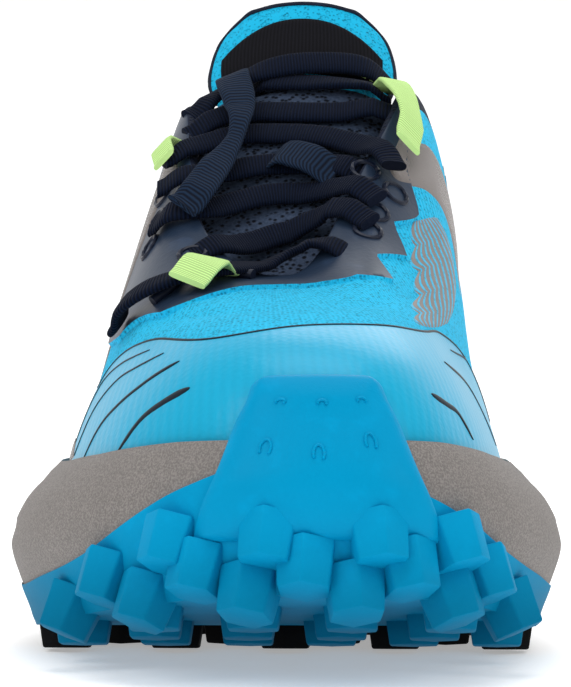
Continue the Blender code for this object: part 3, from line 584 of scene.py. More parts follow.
def skin(around, share):
    """Height of the overlays over the knit."""
    if share <= cap_edge(around) + 1e-6:
        return cap_step(around)
    if share >= stay_edge(around) - 1e-6:
        return stay_step(around)
    return 0.0


def lining(around, share):
    """Depth of the upper's inner face under the knit."""
    return WALL + COLLAR_PAD * at("pad", around) * ramp(share, *PAD_RANGE)


def edge_around(along, start, end):
    """Place round the shoe, between two places, where the sole's bottom edge is this far along."""
    rising = along_of(side_point(end, 0.0)) > along_of(side_point(start, 0.0))
    for _ in range(SEARCH_STEPS):
        middle = (start + end) / 2
        if (along_of(side_point(middle, 0.0)) < along) == rising:
            start = middle
        else:
            end = middle
    return (start + end) / 2


def lug_row(along, pitch, shift):
    """Lug places across the tread at one distance from the toe, on its underside."""
    left = side_point(edge_around(along, 0.02, 0.49), 0.0).x
    right = side_point(edge_around(along, 0.51, 0.98), 0.0).x
    margin = LUG_WIDTH * LUG_MARGIN
    count = max(int((right - left - 2 * margin) / pitch) + 1 - shift, 1)
    step = (right - left - 2 * margin) / max(count - 1 + shift, 1)
    places = []
    for number in range(count):
        side = left + margin + step * (number + 0.5 * shift)
        places.append(Vector((side, (along - 0.5) * SHOE_LENGTH, ground(along) + LUG_HEIGHT)))
    return places


def throat_around(along, start, end):
    """Place round the shoe, between the toe and an eyestay's top, where the topline is here."""
    for _ in range(SEARCH_STEPS):
        middle = (start + end) / 2
        if along_of(top(middle)) < along:
            start = middle
        else:
            end = middle
    return (start + end) / 2


def tongue_section(along):
    """Points across the tongue's outer face where it lies under the eyestay."""
    edges = []
    for row in STAY_TOPS:
        around = throat_around(along, TOE_PLACE, row / RIB_COUNT)
        tuck = 1 - TUCK_SHARE
        hidden = last_point(around, tuck, -lining(around, tuck) - TONGUE_FIT)
        edge = last_point(around, 1.0, -lining(around, 1.0) - TONGUE_FIT)
        inwards = (rib_point(around, 1.0) - rib_point(around, 0.94)).normalized()
        edges.append((hidden, edge, inwards))
    (left_tuck, left, left_way), (right_tuck, right, right_way) = edges
    reach = (right - left).length * TONGUE_CROWN
    points = [left_tuck, left]
    for number in range(1, TONGUE_ACROSS - 3):
        share = number / (TONGUE_ACROSS - 3)
        rest = 1 - share
        points.append(left * rest ** 3 + (left + left_way * reach) * 3 * rest ** 2 * share
                      + (right + right_way * reach) * 3 * rest * share ** 2 + right * share ** 3)
    return points + [right, right_tuck]


def tongue_rows():
    """Rows of points over the tongue's outer face, from under the vamp to its top edge."""
    rows = [tongue_section(along) for along in TONGUE_ALONG]
    for point in rows[0]:
        point.z -= TONGUE_FIT / 2
    slide = Vector((0, -TONGUE_TUCK, -TONGUE_TUCK * 0.3))
    rows.insert(0, [point + slide for point in rows[0]])
    for row in TONGUE_TOP:
        points = []
        for number in range(TONGUE_ACROSS):
            across = 2 * number / (TONGUE_ACROSS - 1) - 1
            point = plan(row.along, TONGUE_CENTRE + row.out * across)
            point.z = row.high * INSTEP_HEIGHT - row.droop * MM * across ** 2
            point.y += row.droop * MM * across ** 2
            points.append(point)
        rows.append(points)
    return rows


def drape(supports, point):
    """Height of the highest surface under a point, or None beside them all."""
    start = Vector((point.x, point.y, 2 * INSTEP_HEIGHT))
    heights = []
    for tree in supports:
        hit = tree.ray_cast(start, Vector((0, 0, -1)))[0]
        if hit is not None:
            heights.append(hit.z)
    return max(heights) if heights else None


def route(points, step):
    """Even samples in plan of a smooth route through points given as (out, along) shares."""
    corners = [plan(along, out) for out, along in points]
    fine = [catmull(corners, number / ROUTE_STEPS, cyclic=False)
            for number in range(ROUTE_STEPS * (len(corners) - 1) + 1)]
    length = sum((b - a).length for a, b in zip(fine, fine[1:]))
    count = max(round(length / step), 2)
    samples, walked, index = [fine[0]], 0.0, 0
    for number in range(1, count):
        target = length * number / count
        while walked + (fine[index + 1] - fine[index]).length < target:
            walked += (fine[index + 1] - fine[index]).length
            index += 1
        share = (target - walked) / (fine[index + 1] - fine[index]).length
        samples.append(fine[index].lerp(fine[index + 1], share))
    return samples + [fine[-1]]


def net_into(mesh, columns, rows, place, material=None):
    """Grid of faces whose corners are moved to place(column, row), with its own net as UV map."""
    made = bmesh.ops.create_grid(mesh, x_segments=columns, y_segments=rows, size=0.5)["verts"]
    uv = mesh.loops.layers.uv.verify()
    faces = {face for vert in made for face in vert.link_faces}
    for face in faces:
        middle = face.calc_center_median()
        if material:
            face.material_index = material(int((middle.x + 0.5) * columns),
                                           int((middle.y + 0.5) * rows))
        for loop in face.loops:
            loop[uv].uv = (loop.vert.co.x + 0.5, loop.vert.co.y + 0.5)
    for vert in made:
        vert.co = place(round((vert.co.x + 0.5) * columns), round((vert.co.y + 0.5) * rows))
    return made


def close_up(mesh):
    """Weld seams, fill what is still open and turn the faces outwards."""
    bmesh.ops.remove_doubles(mesh, verts=mesh.verts, dist=MERGE)
    bmesh.ops.holes_fill(mesh, edges=mesh.edges, sides=0)
    bmesh.ops.recalc_face_normals(mesh, faces=mesh.faces)


def closed_net(columns, rows, place, material=None):
    """Closed mesh of one net."""
    mesh = bmesh.new()
    net_into(mesh, columns, rows, place, material)
    close_up(mesh)
    return mesh


def slab(columns, rows, front, thickness):
    """Closed thin piece: front(column, row) gives a point of its face and the way out of it."""
    def place(column, row):
        column %= 2 * columns
        behind = column > columns
        point, away = front(2 * columns - column if behind else column, row)
        return point - away * thickness if behind else point

    return closed_net(2 * columns, rows, place)


def tube_into(mesh, corners, radius, sides=8):
    """Round cord along a smooth line through points, with its ends closed."""
    count = TUBE_STEPS * (len(corners) - 1)
    line = [catmull(corners, number / TUBE_STEPS, cyclic=False) for number in range(count + 1)]

    def place(column, row):
        ahead = line[min(row + 1, count)] - line[max(row - 1, 0)]
        side = ahead.cross(Vector((0.1, 0.3, 1))).normalized()
        up = side.cross(ahead).normalized()
        angle = 2 * math.pi * column / sides
        return line[row] + (side * math.cos(angle) + up * math.sin(angle)) * radius

    made = net_into(mesh, sides, count, place)
    bmesh.ops.remove_doubles(mesh, verts=made, dist=MERGE)
    bmesh.ops.holes_fill(mesh, edges=mesh.edges, sides=0)
    bmesh.ops.recalc_face_normals(mesh, faces=mesh.faces)


def piece(name, mesh, finishes, slot, nodes=(), angle=50):
    """Make a finished object of a mesh, hang it on the root body and hide the solids it stands for."""
    data = bpy.data.meshes.new(name)
    mesh.to_mesh(data)
    mesh.free()
    made = bpy.data.objects.new(name, data)
    bpy.context.scene.collection.objects.link(made)
    for finish in finishes:
        data.materials.append(finish)
    data.shade_smooth()
    data.set_sharp_from_angle(angle=math.radians(angle))
    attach(made, "root")
    if nodes:
        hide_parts(*nodes)
    return made


# The mix node's sockets for colours, which share their names with others, by number.
MIX_SHARE, MIX_FIRST, MIX_SECOND, MIX_RESULT = 0, 6, 7, 2


class Finish:
    """A procedural material put together from nodes."""

    def __init__(self, name, colour, roughness, **sockets):
        self.material = bpy.data.materials.new(name)
        self.material.use_nodes = True
        self.material.diffuse_color = (*colour, 1)
        self.tree = self.material.node_tree
        self.shader = self.tree.nodes["Principled BSDF"]
        self.put(self.shader, {"Base Color": (*colour, 1), "Roughness": roughness, **sockets})
        self.place = self.tree.nodes.new("ShaderNodeTexCoord")

    def put(self, node, inputs):
        for name, value in inputs.items():
            socket = node.inputs[name]
            if isinstance(value, bpy.types.NodeSocket):
                self.tree.links.new(value, socket)
            else:
                socket.default_value = value

    def node(self, kind, inputs, **settings):
        made = self.tree.nodes.new("ShaderNode" + kind)
        for name, value in settings.items():
            setattr(made, name, value)
        self.put(made, inputs)
        return made

    def maths(self, operation, first, second=0.0):
        return self.node("Math", {0: first, 1: second}, operation=operation).outputs[0]

    def noise(self, scale, detail=2.0):
        return self.node("TexNoise", {"Vector": self.place.outputs["Object"], "Scale": scale,
                                      "Detail": detail}).outputs["Fac"]

    def cells(self, scale):
        return self.node("TexVoronoi", {"Vector": self.place.outputs["Object"],
                                        "Scale": scale}).outputs["Distance"]

    def axis(self, source, axis):
        """One axis of the object's own coordinates or of its UV map."""
        return self.node("SeparateXYZ", {"Vector": self.place.outputs[source]}).outputs[axis]

    def net(self, axis):
        """The piece's own net, across or along it."""
        return self.axis("UV", axis)

    def wave(self, value, turns):
        """Smooth wave from 0 to 1 with this many turns for each unit."""
        angle = self.maths("MULTIPLY", value, turns * 2 * math.pi)
        return self.maths("MULTIPLY_ADD", self.maths("SINE", angle), 0.5)

    def ramp(self, value, low, high):
        return self.node("MapRange", {"Value": value, "From Min": low, "From Max": high},
                         interpolation_type="SMOOTHSTEP").outputs["Result"]

    def mix(self, share, first, second):
        inputs = {MIX_SHARE: share, MIX_FIRST: first, MIX_SECOND: second}
        return self.node("Mix", inputs, data_type="RGBA").outputs[MIX_RESULT]

    def paint(self, value):
        self.put(self.shader, {"Base Color": value})

    def bump(self, height, distance):
        """Add relief of a depth in metres to what is already there."""
        inputs = {"Height": height, "Distance": distance, "Strength": 1.0}
        if self.shader.inputs["Normal"].is_linked:
            inputs["Normal"] = self.shader.inputs["Normal"].links[0].from_socket
        made = self.node("Bump", inputs)
        self.put(self.shader, {"Normal": made.outputs["Normal"]})


def shade(colour, share):
    """Colour made darker, or lighter above 1."""
    return (*(min(part * share, 1) for part in colour[:3]), 1)


def cloth(name, colour, roughness, sheen, shine, spread=0.5):
    """Start of a textile finish: matt, with a little sheen."""
    return Finish(name, colour, roughness, **{"Sheen Weight": sheen, "Sheen Roughness": spread,
                                              "Specular IOR Level": shine})


def gloss(name, colour, roughness, coat, spread, shine):
    """Start of a film or moulded finish: smooth, with a thin clear coat."""
    return Finish(name, colour, roughness, **{"Coat Weight": coat, "Coat Roughness": spread,
                                              "Specular IOR Level": shine})


def knit(name, colour, cell, dark, pale, depth=0.25):
    """Engineered knit: small open cells, a slow change of tone and a soft sheen."""
    made = cloth(name, colour, 0.85, 0.03, 0.15)
    hole = made.ramp(made.cells(1 / cell), 0.12, 0.55)
    tone = made.mix(made.noise(60), shade(colour, 0.88), shade(colour, pale))
    made.paint(made.mix(hole, shade(colour, dark), tone))
    made.bump(hole, depth * MM)
    made.bump(made.noise(1800, 3), 0.05 * MM)
    return made.material


def ribbed_knit(name, colour, cell):
    """Vamp knit: fine wales that run up the foot, with rows of open cells between them."""
    made = cloth(name, colour, 0.80, 0.03, 0.12)
    hole = made.ramp(made.cells(1 / cell), 0.10, 0.50)
    wales = made.wave(made.net(0), 330)
    tone = made.mix(made.noise(45), shade(colour, 0.86), shade(colour, 1.2))
    tone = made.mix(made.maths("MULTIPLY", wales, 0.30), tone, shade(colour, 1.55))
    made.paint(made.mix(hole, shade(colour, 0.62), tone))
    made.bump(hole, 0.16 * MM)
    made.bump(wales, 0.12 * MM)
    return made.material


def film(name, colour, roughness=0.30):
    """Fused film over the knit: smooth and glossy, with the knit ghosting through."""
    made = gloss(name, colour, roughness, 0.04, 0.25, 0.18)
    ribs = made.wave(made.net(0), 200)
    tone = made.mix(made.noise(25), shade(colour, 0.92), shade(colour, 1.10))
    made.paint(made.mix(made.maths("MULTIPLY", ribs, 0.10), tone, shade(colour, 1.45)))
    made.bump(made.cells(900), 0.04 * MM)
    made.bump(ribs, 0.03 * MM)
    return made.material


def moulded(name, colour, roughness, coat=0.0):
    """Smooth satin film of the eyestay and piping, with light scuffs."""
    made = gloss(name, colour, roughness, coat, 0.3, 0.16)
    scuff = made.ramp(made.noise(160, 5), 0.55, 0.75)
    made.paint(made.mix(scuff, shade(colour, 1), shade(colour, 1.5)))
    made.bump(made.noise(900, 3), 0.05 * MM)
    return made.material


def foam(name, colour):
    """Moulded foam with a fine speckled skin."""
    made = Finish(name, colour, 0.80)
    speck = made.ramp(made.noise(2600, 3), 0.38, 0.64)
    patch = made.mix(made.noise(70), shade(colour, 0.93), shade(colour, 1.07))
    made.paint(made.mix(speck, shade(colour, 0.62), patch))
    made.bump(made.noise(1500, 4), 0.18 * MM)
    return made.material


def rubber(name, colour, roughness):
    """Moulded rubber with dust in its grain, and painted shade that darkens it towards the floor."""
    made = Finish(name, colour, roughness, **{"Specular IOR Level": 0.04})
    dust = made.ramp(made.noise(220, 4), 0.5, 0.8)
    tone = made.mix(made.noise(30), shade(colour, 0.90), shade(colour, 1.10))
    tone = made.mix(made.maths("MULTIPLY", dust, 0.25), tone, shade(colour, 1.35))
    # Painted shade: near the floor the rubber is mixed towards a darker copy of its colour, standing in
    # for the shadow under the lugs and tray.
    low = made.ramp(made.axis("Object", "Z"), *RUBBER_PAINTED_SHADE)
    made.paint(made.mix(made.maths("MULTIPLY", low, 0.85), tone, shade(colour, 0.40)))
    made.bump(made.noise(1300, 3), 0.06 * MM)
    return made.material


def woven_lace(name, colour, turns, depth=0.10, dark=0.45):
    """Flat woven lace with ribs across it."""
    made = cloth(name, colour, 0.88, 0.02, 0.08)
    ribs = made.wave(made.net(1), turns)
    weave = made.wave(made.net(0), 9)
    threads = made.maths("MULTIPLY", ribs, made.maths("MULTIPLY_ADD", weave, 0.5))
    made.paint(made.mix(ribs, shade(colour, dark), shade(colour, 1.4)))
    made.bump(ribs, depth * MM)
    made.bump(threads, depth * 0.6 * MM)
    return made.material


def herringbone(name, colour, turns):
    """Tape whose threads slant one way, then the other."""
    made = cloth(name, colour, 0.85, 0.02, 0.12, 0.4)
    fold = made.node("Math", {0: made.net(0), 1: 0.25}, operation="PINGPONG").outputs[0]
    slant = made.maths("MULTIPLY", fold, 9.0)
    run = made.maths("ADD", made.maths("MULTIPLY", made.net(1), turns), slant)
    threads = made.wave(run, 1)
    made.paint(made.mix(threads, shade(colour, 0.6), TAPE_THREAD))
    made.bump(threads, 0.08 * MM)
    return made.material


def tongue_cloth(name, navy, cyan, split):
    """Tongue: navy heather below, cyan mesh on its free top."""
    made = cloth(name, navy, 0.88, 0.02, 0.10)
    hole = made.ramp(made.cells(800), 0.18, 0.50)
    threads = made.mix(made.noise(1500), *HEATHER)
    lower = made.mix(hole, shade(navy, 0.35), threads)
    fine = made.ramp(made.cells(1150), 0.10, 0.42)
    upper = made.mix(fine, shade(cyan, 0.50), shade(cyan, 1.05))
    free = made.ramp(made.net(1), split - 0.003, split + 0.003)
    made.paint(made.mix(free, lower, upper))
    made.bump(hole, 0.3 * MM)
    return made.material


def label_cloth(name, colour, line):
    """Bare woven label with one line of stitches in from its lower edge."""
    made = cloth(name, colour, 0.80, 0.01, 0.08)
    threads = made.wave(made.net(0), 90)
    low = made.ramp(made.net(1), 0.075, 0.085)
    high = made.ramp(made.net(1), 0.115, 0.105)
    dashes = made.ramp(made.wave(made.net(0), 34), 0.25, 0.40)
    stitch = made.maths("MULTIPLY", made.maths("MULTIPLY", low, high), dashes)
    tone = made.mix(threads, shade(colour, 0.7), shade(colour, 1.6))
    made.paint(made.mix(stitch, tone, shade(line, 1)))
    made.bump(threads, 0.06 * MM)
    made.bump(stitch, 0.15 * MM)
    return made.material


def striped(name, knit_colour, stripe_colour):
    """Knit under slanting printed film stripes."""
    made = Finish(name, knit_colour, 0.55)
    run = made.maths("SUBTRACT", made.maths("MULTIPLY", made.net(0), 10),
                     made.maths("MULTIPLY", made.net(1), 5))
    stripe = made.ramp(made.wave(run, 1), 0.22, 0.42)
    hole = made.ramp(made.cells(1000), 0.10, 0.5)
    base = made.mix(hole, shade(knit_colour, 0.5), shade(knit_colour, 1))
    made.paint(made.mix(stripe, base, shade(stripe_colour, 1)))
    made.bump(stripe, 0.3 * MM)
    return made.material


def inside_point(around, share):
    """Point of the upper's lining."""
    return last_point(around, share, -lining(around, share))


def crease_depth(around, share):
    """How deep the knit's creases are here."""
    depth = 0.0
    for row in CREASES:
        far = ((around - row.around) / row.length) ** 2 + ((share - row.share) / row.width) ** 2
        if far < 9:
            depth += row.depth * math.exp(-far)
    return depth * MM


# Rows of the upper's net: up over film, knit and eyestay, round the rolled edge, down the
# lining and back to the first row. The roll shares its ends with its neighbours.
ZONE_ROWS = {"cap": 18, "knit": 34, "stay": 14, "roll": 8, "lining": 26}
UPPER_ROWS = [(zone, part / count) for zone, count in ZONE_ROWS.items()
              for part in (range(1, count) if zone == "roll" else range(count + 1))]
UPPER_ROWS.append(("cap", 0.0))
FILM, KNIT, STAY, COLLAR, LINING = range(5)


def upper_corner(column, row):
    """Point of the upper's wall at one column and row of its net."""
    around = (column % RING) / RING
    zone, part = UPPER_ROWS[row]
    cap, stay = cap_edge(around), stay_edge(around)
    if zone == "cap":
        return last_point(around, cap * part, cap_step(around))
    if zone == "knit":
        share = cap + LIP + (stay - cap - 2 * LIP) * part
        return last_point(around, share, -crease_depth(around, share))
    if zone == "stay":
        share = stay + (1 - stay) * part
        return last_point(around, share, stay_step(around))
    if zone == "lining":
        return inside_point(around, 1 - part)
    outside, inside = last_point(around, 1, stay_step(around)), inside_point(around, 1)
    middle, half = (outside + inside) / 2, (outside - inside) / 2
    rise = (rib_point(around, 1) - rib_point(around, ROLL_FROM)).normalized() * half.length
    angle = math.pi * part
    return middle + half * math.cos(angle) + rise * math.sin(angle)


def upper_finish(column, row):
    """Which finish a face of the upper takes."""
    around = (column + 0.5) / RING
    zone = UPPER_ROWS[row][0]
    if zone == "cap":
        return FILM if cap_step(around) > FILM_SHOWS else KNIT
    if zone == "stay":
        return STAY if stay_step(around) > STAY_SHOWS else COLLAR
    return {"knit": KNIT, "roll": COLLAR, "lining": LINING}[zone]


def shoe_settings():
    """The scene's colours and sizes."""
    return bpy.context.scene.shoe_colours, bpy.context.scene.shoe_sizes


class ShoeColours(bpy.types.PropertyGroup):
    """Colours of the shoe's finishes, as linear light."""

    knit: FloatVectorProperty(name="Knit", description="Knit of the vamp and sides", subtype="COLOR",
                              default=(0.010, 0.42, 0.68), min=0, max=1)
    film: FloatVectorProperty(name="Film", description="Fused film of the toe cap", subtype="COLOR",
                              default=(0.004, 0.36, 0.58), min=0, max=1)
    navy: FloatVectorProperty(name="Navy", description="Collar, lining and tongue", subtype="COLOR",
                              default=(0.006, 0.010, 0.024), min=0, max=1)
    eyestay: FloatVectorProperty(name="Eyestay", description="Satin film round the throat",
                                 subtype="COLOR", default=(0.017, 0.031, 0.060), min=0, max=1)
    lace: FloatVectorProperty(name="Lace", description="Laces and their keeper", subtype="COLOR",
                              default=(0.002, 0.005, 0.016), min=0, max=1)
    lime: FloatVectorProperty(name="Lime", description="Webbing loops", subtype="COLOR",
                              default=(0.46, 0.68, 0.25), min=0, max=1)
    foam: FloatVectorProperty(name="Foam", description="Midsole", subtype="COLOR",
                              default=(0.248, 0.226, 0.212), min=0, max=1)
    side_film: FloatVectorProperty(name="Side film", description="Bands down the sides",
                                   subtype="COLOR", default=(0.19, 0.165, 0.155), min=0, max=1)
    blue_rubber: FloatVectorProperty(name="Blue rubber", description="Front of the outsole",
                                     subtype="COLOR", default=(0.0, 0.29, 0.54), min=0, max=1)
    black_rubber: FloatVectorProperty(name="Black rubber", description="Rear of the outsole",
                                      subtype="COLOR", default=(0.010, 0.010, 0.011), min=0, max=1)


class ShoeSizes(bpy.types.PropertyGroup):
    """Sizes of what lies on the shoe."""

    lace_width: FloatProperty(name="Lace width", description="Width of the flat lace", unit="LENGTH",
                              default=LACE_WIDTH, min=0.002, max=0.012)
    lace_thickness: FloatProperty(name="Lace thickness", description="Thickness of the flat lace",
                                  unit="LENGTH", default=LACE_THICKNESS, min=0.0005, max=0.004)
    webbing_thickness: FloatProperty(name="Webbing thickness", description="Thickness of loops and tape",
                                     unit="LENGTH", default=WEBBING_THICKNESS, min=0.0004, max=0.003)
    line_height: FloatProperty(name="Line height", description="Relief of the lines on the toe cap",
                               unit="LENGTH", default=0.0003, min=0.0001, max=0.001)


class SHOE_OT_upper(bpy.types.Operator):
    """Knit upper with its toe-cap film, eyestay, padded collar and lining"""
    bl_idname = "shoe.upper"
    bl_label = "Upper"

    def execute(self, context):
        colours, _ = shoe_settings()
        mesh = closed_net(RING, len(UPPER_ROWS) - 1, upper_corner, upper_finish)
        made = piece("knit_upper", mesh, [
            film("toe_cap_film", colours.film),
            ribbed_knit("upper_knit", colours.knit, 0.85 * MM),
            moulded("eyestay", colours.eyestay, 0.36, 0.03),
            knit("collar_knit", colours.navy, 1.0 * MM, 0.4, 1.8),
            knit("lining_mesh", colours.navy, 1.6 * MM, 0.3, 1.4, 0.4),
        ], "upper", ["upper"])
        return {"FINISHED"}


@lru_cache(maxsize=None)
def side_facts(around):
    """What the midsole's side hangs on at one place round the shoe."""
    base, away = foot(around), outward(around)
    along = along_of(base)
    rim_at = rim_share(around)
    rim_out = last_point(around, rim_at, skin(around, rim_at) + GAP + RIM_WIDTH) - base
    top_out = rim_out.dot(away)
    flare = max(SOLE_FLARE * at("flare", around) - top_out, 0)
    bottom = ground(along) + LUG_HEIGHT + OUTSOLE_WALL + GAP
    return base, away, bottom, level("rim", along), top_out, flare


def side_point(around, share, offset=0.0):
    """Point on the midsole's side, from its bottom edge at 0 to the rim's top at 1."""
    base, away, bottom, rim, top_out, flare = side_facts(around)
    spread = top_out + flare * catmull(BELLY, share * (len(BELLY) - 1), cyclic=False)
    point = base + away * (spread + offset)
    point.z = bottom + (rim - bottom) * share
    return point


def channel_depth(around, share):
    """How deep the side's channels are here. They fade out towards the toe."""
    bend = math.sin(math.pi * (around - TOE_PLACE) * 2) ** 2
    groove = sum(row.depth * MM * math.exp(-((share - row.share - row.bow * bend) / row.width) ** 2)
                 for row in CHANNELS)
    return groove * ramp(abs(around - TOE_PLACE), *CHANNEL_FADE)


def midsole_corner(column, row):
    """Point of the midsole's skin: up its side, over the rim and down inside it."""
    around = (column % SOLE_RING) / SOLE_RING
    if row <= SIDE_ROWS:
        share = row / SIDE_ROWS
        rounding = SIDE_ROUND * ramp(share, SIDE_ROUND_FROM, 1.0)
        return side_point(around, share, -channel_depth(around, share) - rounding)
    part = 1 - (row - SIDE_ROWS) / RIM_ROWS
    share = rim_share(around) * part
    point = last_point(around, share, skin(around, share) + GAP)
    if part == 0:
        point.z = foot(around).z - GAP
    if part == 1:
        point.z = level("rim", along_of(foot(around)))
    return point


class SHOE_OT_midsole(bpy.types.Operator):
    """Moulded foam midsole with its bellied side and raised rim"""
    bl_idname = "shoe.midsole"
    bl_label = "Midsole"

    def execute(self, context):
        colours, _ = shoe_settings()
        mesh = closed_net(SOLE_RING, SIDE_ROWS + RIM_ROWS, midsole_corner)
        piece("foam_midsole", mesh, [foam("midsole_foam", colours.foam)], "foam", ["midsole"])
        return {"FINISHED"}


# The footbed's edge, row by row: mm in from its outline and share of its thickness.
FOOTBED_ROWS = ((0, 0), (0, 0.5), (0, 0.8), (0.5, 1.0), (3.0, 1.0), (9.0, 0.9))


def insole_corner(column, row):
    """Point of the footbed's skin."""
    around = (column % SOLE_RING) / SOLE_RING
    inset, lift = FOOTBED_ROWS[row]
    point = foot(around) - outward(around) * (WALL + INSOLE_FIT + inset * MM)
    point.z += INSOLE_THICKNESS * lift
    return point


class SHOE_OT_insole(bpy.types.Operator):
    """Footbed with a fine textile top"""
    bl_idname = "shoe.insole"
    bl_label = "Insole"

    def execute(self, context):
        colours, _ = shoe_settings()
        mesh = closed_net(SOLE_RING, len(FOOTBED_ROWS) - 1, insole_corner)
        made = piece("footbed", mesh, [knit("footbed_cloth", colours.navy, 0.8 * MM, 0.5, 2.0)],
                     "insole", ["insole"])
        return {"FINISHED"}


def tray_into(mesh, start, end, slip):
    """Rubber up the sole's side between two places round the shoe, and flat under it."""
    far = GAP + FLANGE_WALL
    shift = Vector((0, slip, 0))

    def around_of(column):
        return start + (end - start) * column / TRAY_COLUMNS

    def thin(part):
        return 1 - FLANGE_THINS * part ** 2

    def edge(column):
        point = side_point(around_of(column), 0, far * EDGE_OUT)
        point.z -= OUTSOLE_WALL
        return point + shift

    def side(column, row):
        if row == 0:
            return edge(column)
        around = around_of(column)
        part = (row - 1) / (TRAY_ROWS - 1)
        return side_point(around, at("wrap", around) * part, far * thin(part)) + shift

    def lip(column, row):
        around = around_of(column)
        return side_point(around, at("wrap", around), far * thin(1) * (1 - row)) + shift

    def under(column, row):
        return edge(column).lerp(edge(TRAY_COLUMNS - column), row / UNDER_ROWS)

    net_into(mesh, TRAY_COLUMNS, TRAY_ROWS, side)
    net_into(mesh, TRAY_COLUMNS, 1, lip)
    net_into(mesh, TRAY_COLUMNS // 2, UNDER_ROWS, under)


def lug_into(mesh, foot_of_lug, direction, tall=1.0):
    """Six-sided tapered lug with softened edges, standing on the rubber."""
    turn = direction.to_track_quat("Z", "Y").to_matrix().to_4x4()
    turn.translation = foot_of_lug + direction * (LUG_HEIGHT * tall - LUG_ROOT) / 2
    made = bmesh.ops.create_cone(mesh, cap_ends=True, segments=LUG_SIDES,
                                 radius1=LUG_WIDTH / 2, radius2=LUG_WIDTH * LUG_TIP,
                                 depth=LUG_HEIGHT * tall + LUG_ROOT, matrix=turn)
    edges = list(dict.fromkeys(edge for vert in made["verts"] for edge in vert.link_edges))
    bmesh.ops.bevel(mesh, geom=edges, offset=LUG_BEVEL, offset_type="OFFSET", segments=2,
                    profile=0.5, affect="EDGES", clamp_overlap=True, material=-1)


def tread_into(mesh, tread, pitch):
    """Rows of ground lugs between two shares of the length."""
    first, last = tread
    rows = round((last - first) * SHOE_LENGTH / pitch)
    for number in range(rows + 1):
        along = first + (last - first) * number / rows
        lean = ground(along + 0.01) - ground(along - 0.01)
        down = Vector((0, lean, -0.02 * SHOE_LENGTH)).normalized()
        for place in lug_row(along, pitch, number % 2):
            lug_into(mesh, place, down)


def toe_lugs_into(mesh):
    """Lugs that climb the toe."""
    for share, steps in TOE_LUGS:
        for step in steps:
            around = TOE_PLACE + step
            base = side_point(around, share, GAP + OUTSOLE_WALL)
            lower = side_point(around, max(share - 0.1, 0), GAP + OUTSOLE_WALL)
            run = side_point(around + 0.01, share) - side_point(around - 0.01, share)
            away = run.cross(base - lower).normalized()
            way = (away * TOE_LUG_LEAN + Vector((0, 0, -1))).normalized()
            lug_into(mesh, base - away * TOE_LUG_SUNK * MM, way, TOE_LUG_TALL)


def shield_point(across, high, depth=0.0):
    """Point of the toe shield: across from -1 to 1, high from the tread to its top."""
    place = high * (len(SHIELD) - 1)
    half = catmull([row[1] for row in SHIELD], place, cyclic=False)
    corner = max((high - SHIELD_TURN) / (1 - SHIELD_TURN), 0)
    half *= 1 - corner ** 2.5 * SHIELD_NARROWS
    around = TOE_PLACE + SHIELD_SHIFT + across * half
    rim = rim_share(around)
    far = GAP + OUTSOLE_WALL
    spine = [side_point(around, share, far + SHIELD_PROUD) for share in SHIELD_SIDE]
    spine += [last_point(around, rim + lift, CAP_STEP + far + SHIELD_PROUD)
              for lift in SHIELD_LIFTS]
    point = catmull(spine, high * (len(spine) - 1), cyclic=False)
    edge = max(abs(across) ** 8, high ** 14, (1 - high) ** 24)
    away = rib_normal(around, rim + 0.05)
    return point - away * (SHIELD_EDGE * edge + depth), away


class SHOE_OT_outsole(bpy.types.Operator):
    """Blue front and black rear rubber with their lugs and the toe shield"""
    bl_idname = "shoe.outsole"
    bl_label = "Outsole"

    def execute(self, context):
        colours, _ = shoe_settings()
        blue = bmesh.new()
        tray_into(blue, *FRONT_ARC, 0)
        tread_into(blue, FRONT_TREAD, TOE_LUG_PITCH)
        toe_lugs_into(blue)
        bmesh.ops.remove_doubles(blue, verts=blue.verts, dist=MERGE)
        piece("front_rubber", blue, [rubber("rubber_blue", colours.blue_rubber, 0.62)],
              "rubber_blue", ["outsole_front"], 35)
        shield = slab(SHIELD_COLUMNS, SHIELD_ROWS, lambda column, row: shield_point(
            2 * column / SHIELD_COLUMNS - 1, row / SHIELD_ROWS), SHIELD_WALL)
        piece("toe_shield", shield, [rubber("shield_rubber", colours.blue_rubber, 0.40)],
              "rubber_blue", (), 60)
        black = bmesh.new()
        tray_into(black, FRONT_ARC[1] - 1, FRONT_ARC[0], SPLIT_GAP)
        tread_into(black, REAR_TREAD, LUG_PITCH)
        bmesh.ops.remove_doubles(black, verts=black.verts, dist=MERGE)
        piece("rear_rubber", black, [rubber("rubber_black", colours.black_rubber, 0.6)],
              "rubber_black", ["outsole_rear"], 35)
        return {"FINISHED"}


NET = tongue_rows()


def tongue_front(across, high):
    """Point of the tongue's outer face at shares across and up it."""
    place = high * (len(NET) - 1)
    line = [catmull([row[number] for row in NET], place, cyclic=False)
            for number in range(TONGUE_ACROSS)]
    return catmull(line, across * (TONGUE_ACROSS - 1), cyclic=False)


@lru_cache(maxsize=None)
def tongue_place(across, high):
    """Outer point of the tongue, and the way out of it."""
    step = 0.02
    right, left = tongue_front(min(across + step, 1), high), tongue_front(max(across - step, 0), high)
    above, below = tongue_front(across, min(high + step, 1)), tongue_front(across, max(high - step, 0))
    return tongue_front(across, high), (right - left).cross(above - below).normalized()


def tongue_corner(column, row):
    """Once round the tongue's section, over its front and back along its back."""
    high = row / TONGUE_ROWS
    turn = 2 * math.pi * column / (2 * TONGUE_COLUMNS)
    across = 0.5 - 0.5 * math.cos(turn)
    point, away = tongue_place(round(across, 6), round(high, 6))
    last = len(NET) - 1
    depth = TONGUE_WALL + TONGUE_PAD * ramp(high * last, last - 5, last - 2)
    depth *= 0.45 + 0.55 * min(high * last, 1, (1 - high) * last * 1.4)
    round_off = 1 - abs(math.cos(turn)) ** 4
    middle = point - away * depth * (0.22 + 0.28 * round_off)
    return middle + away * depth * 0.5 * (round_off if turn <= math.pi else -round_off)


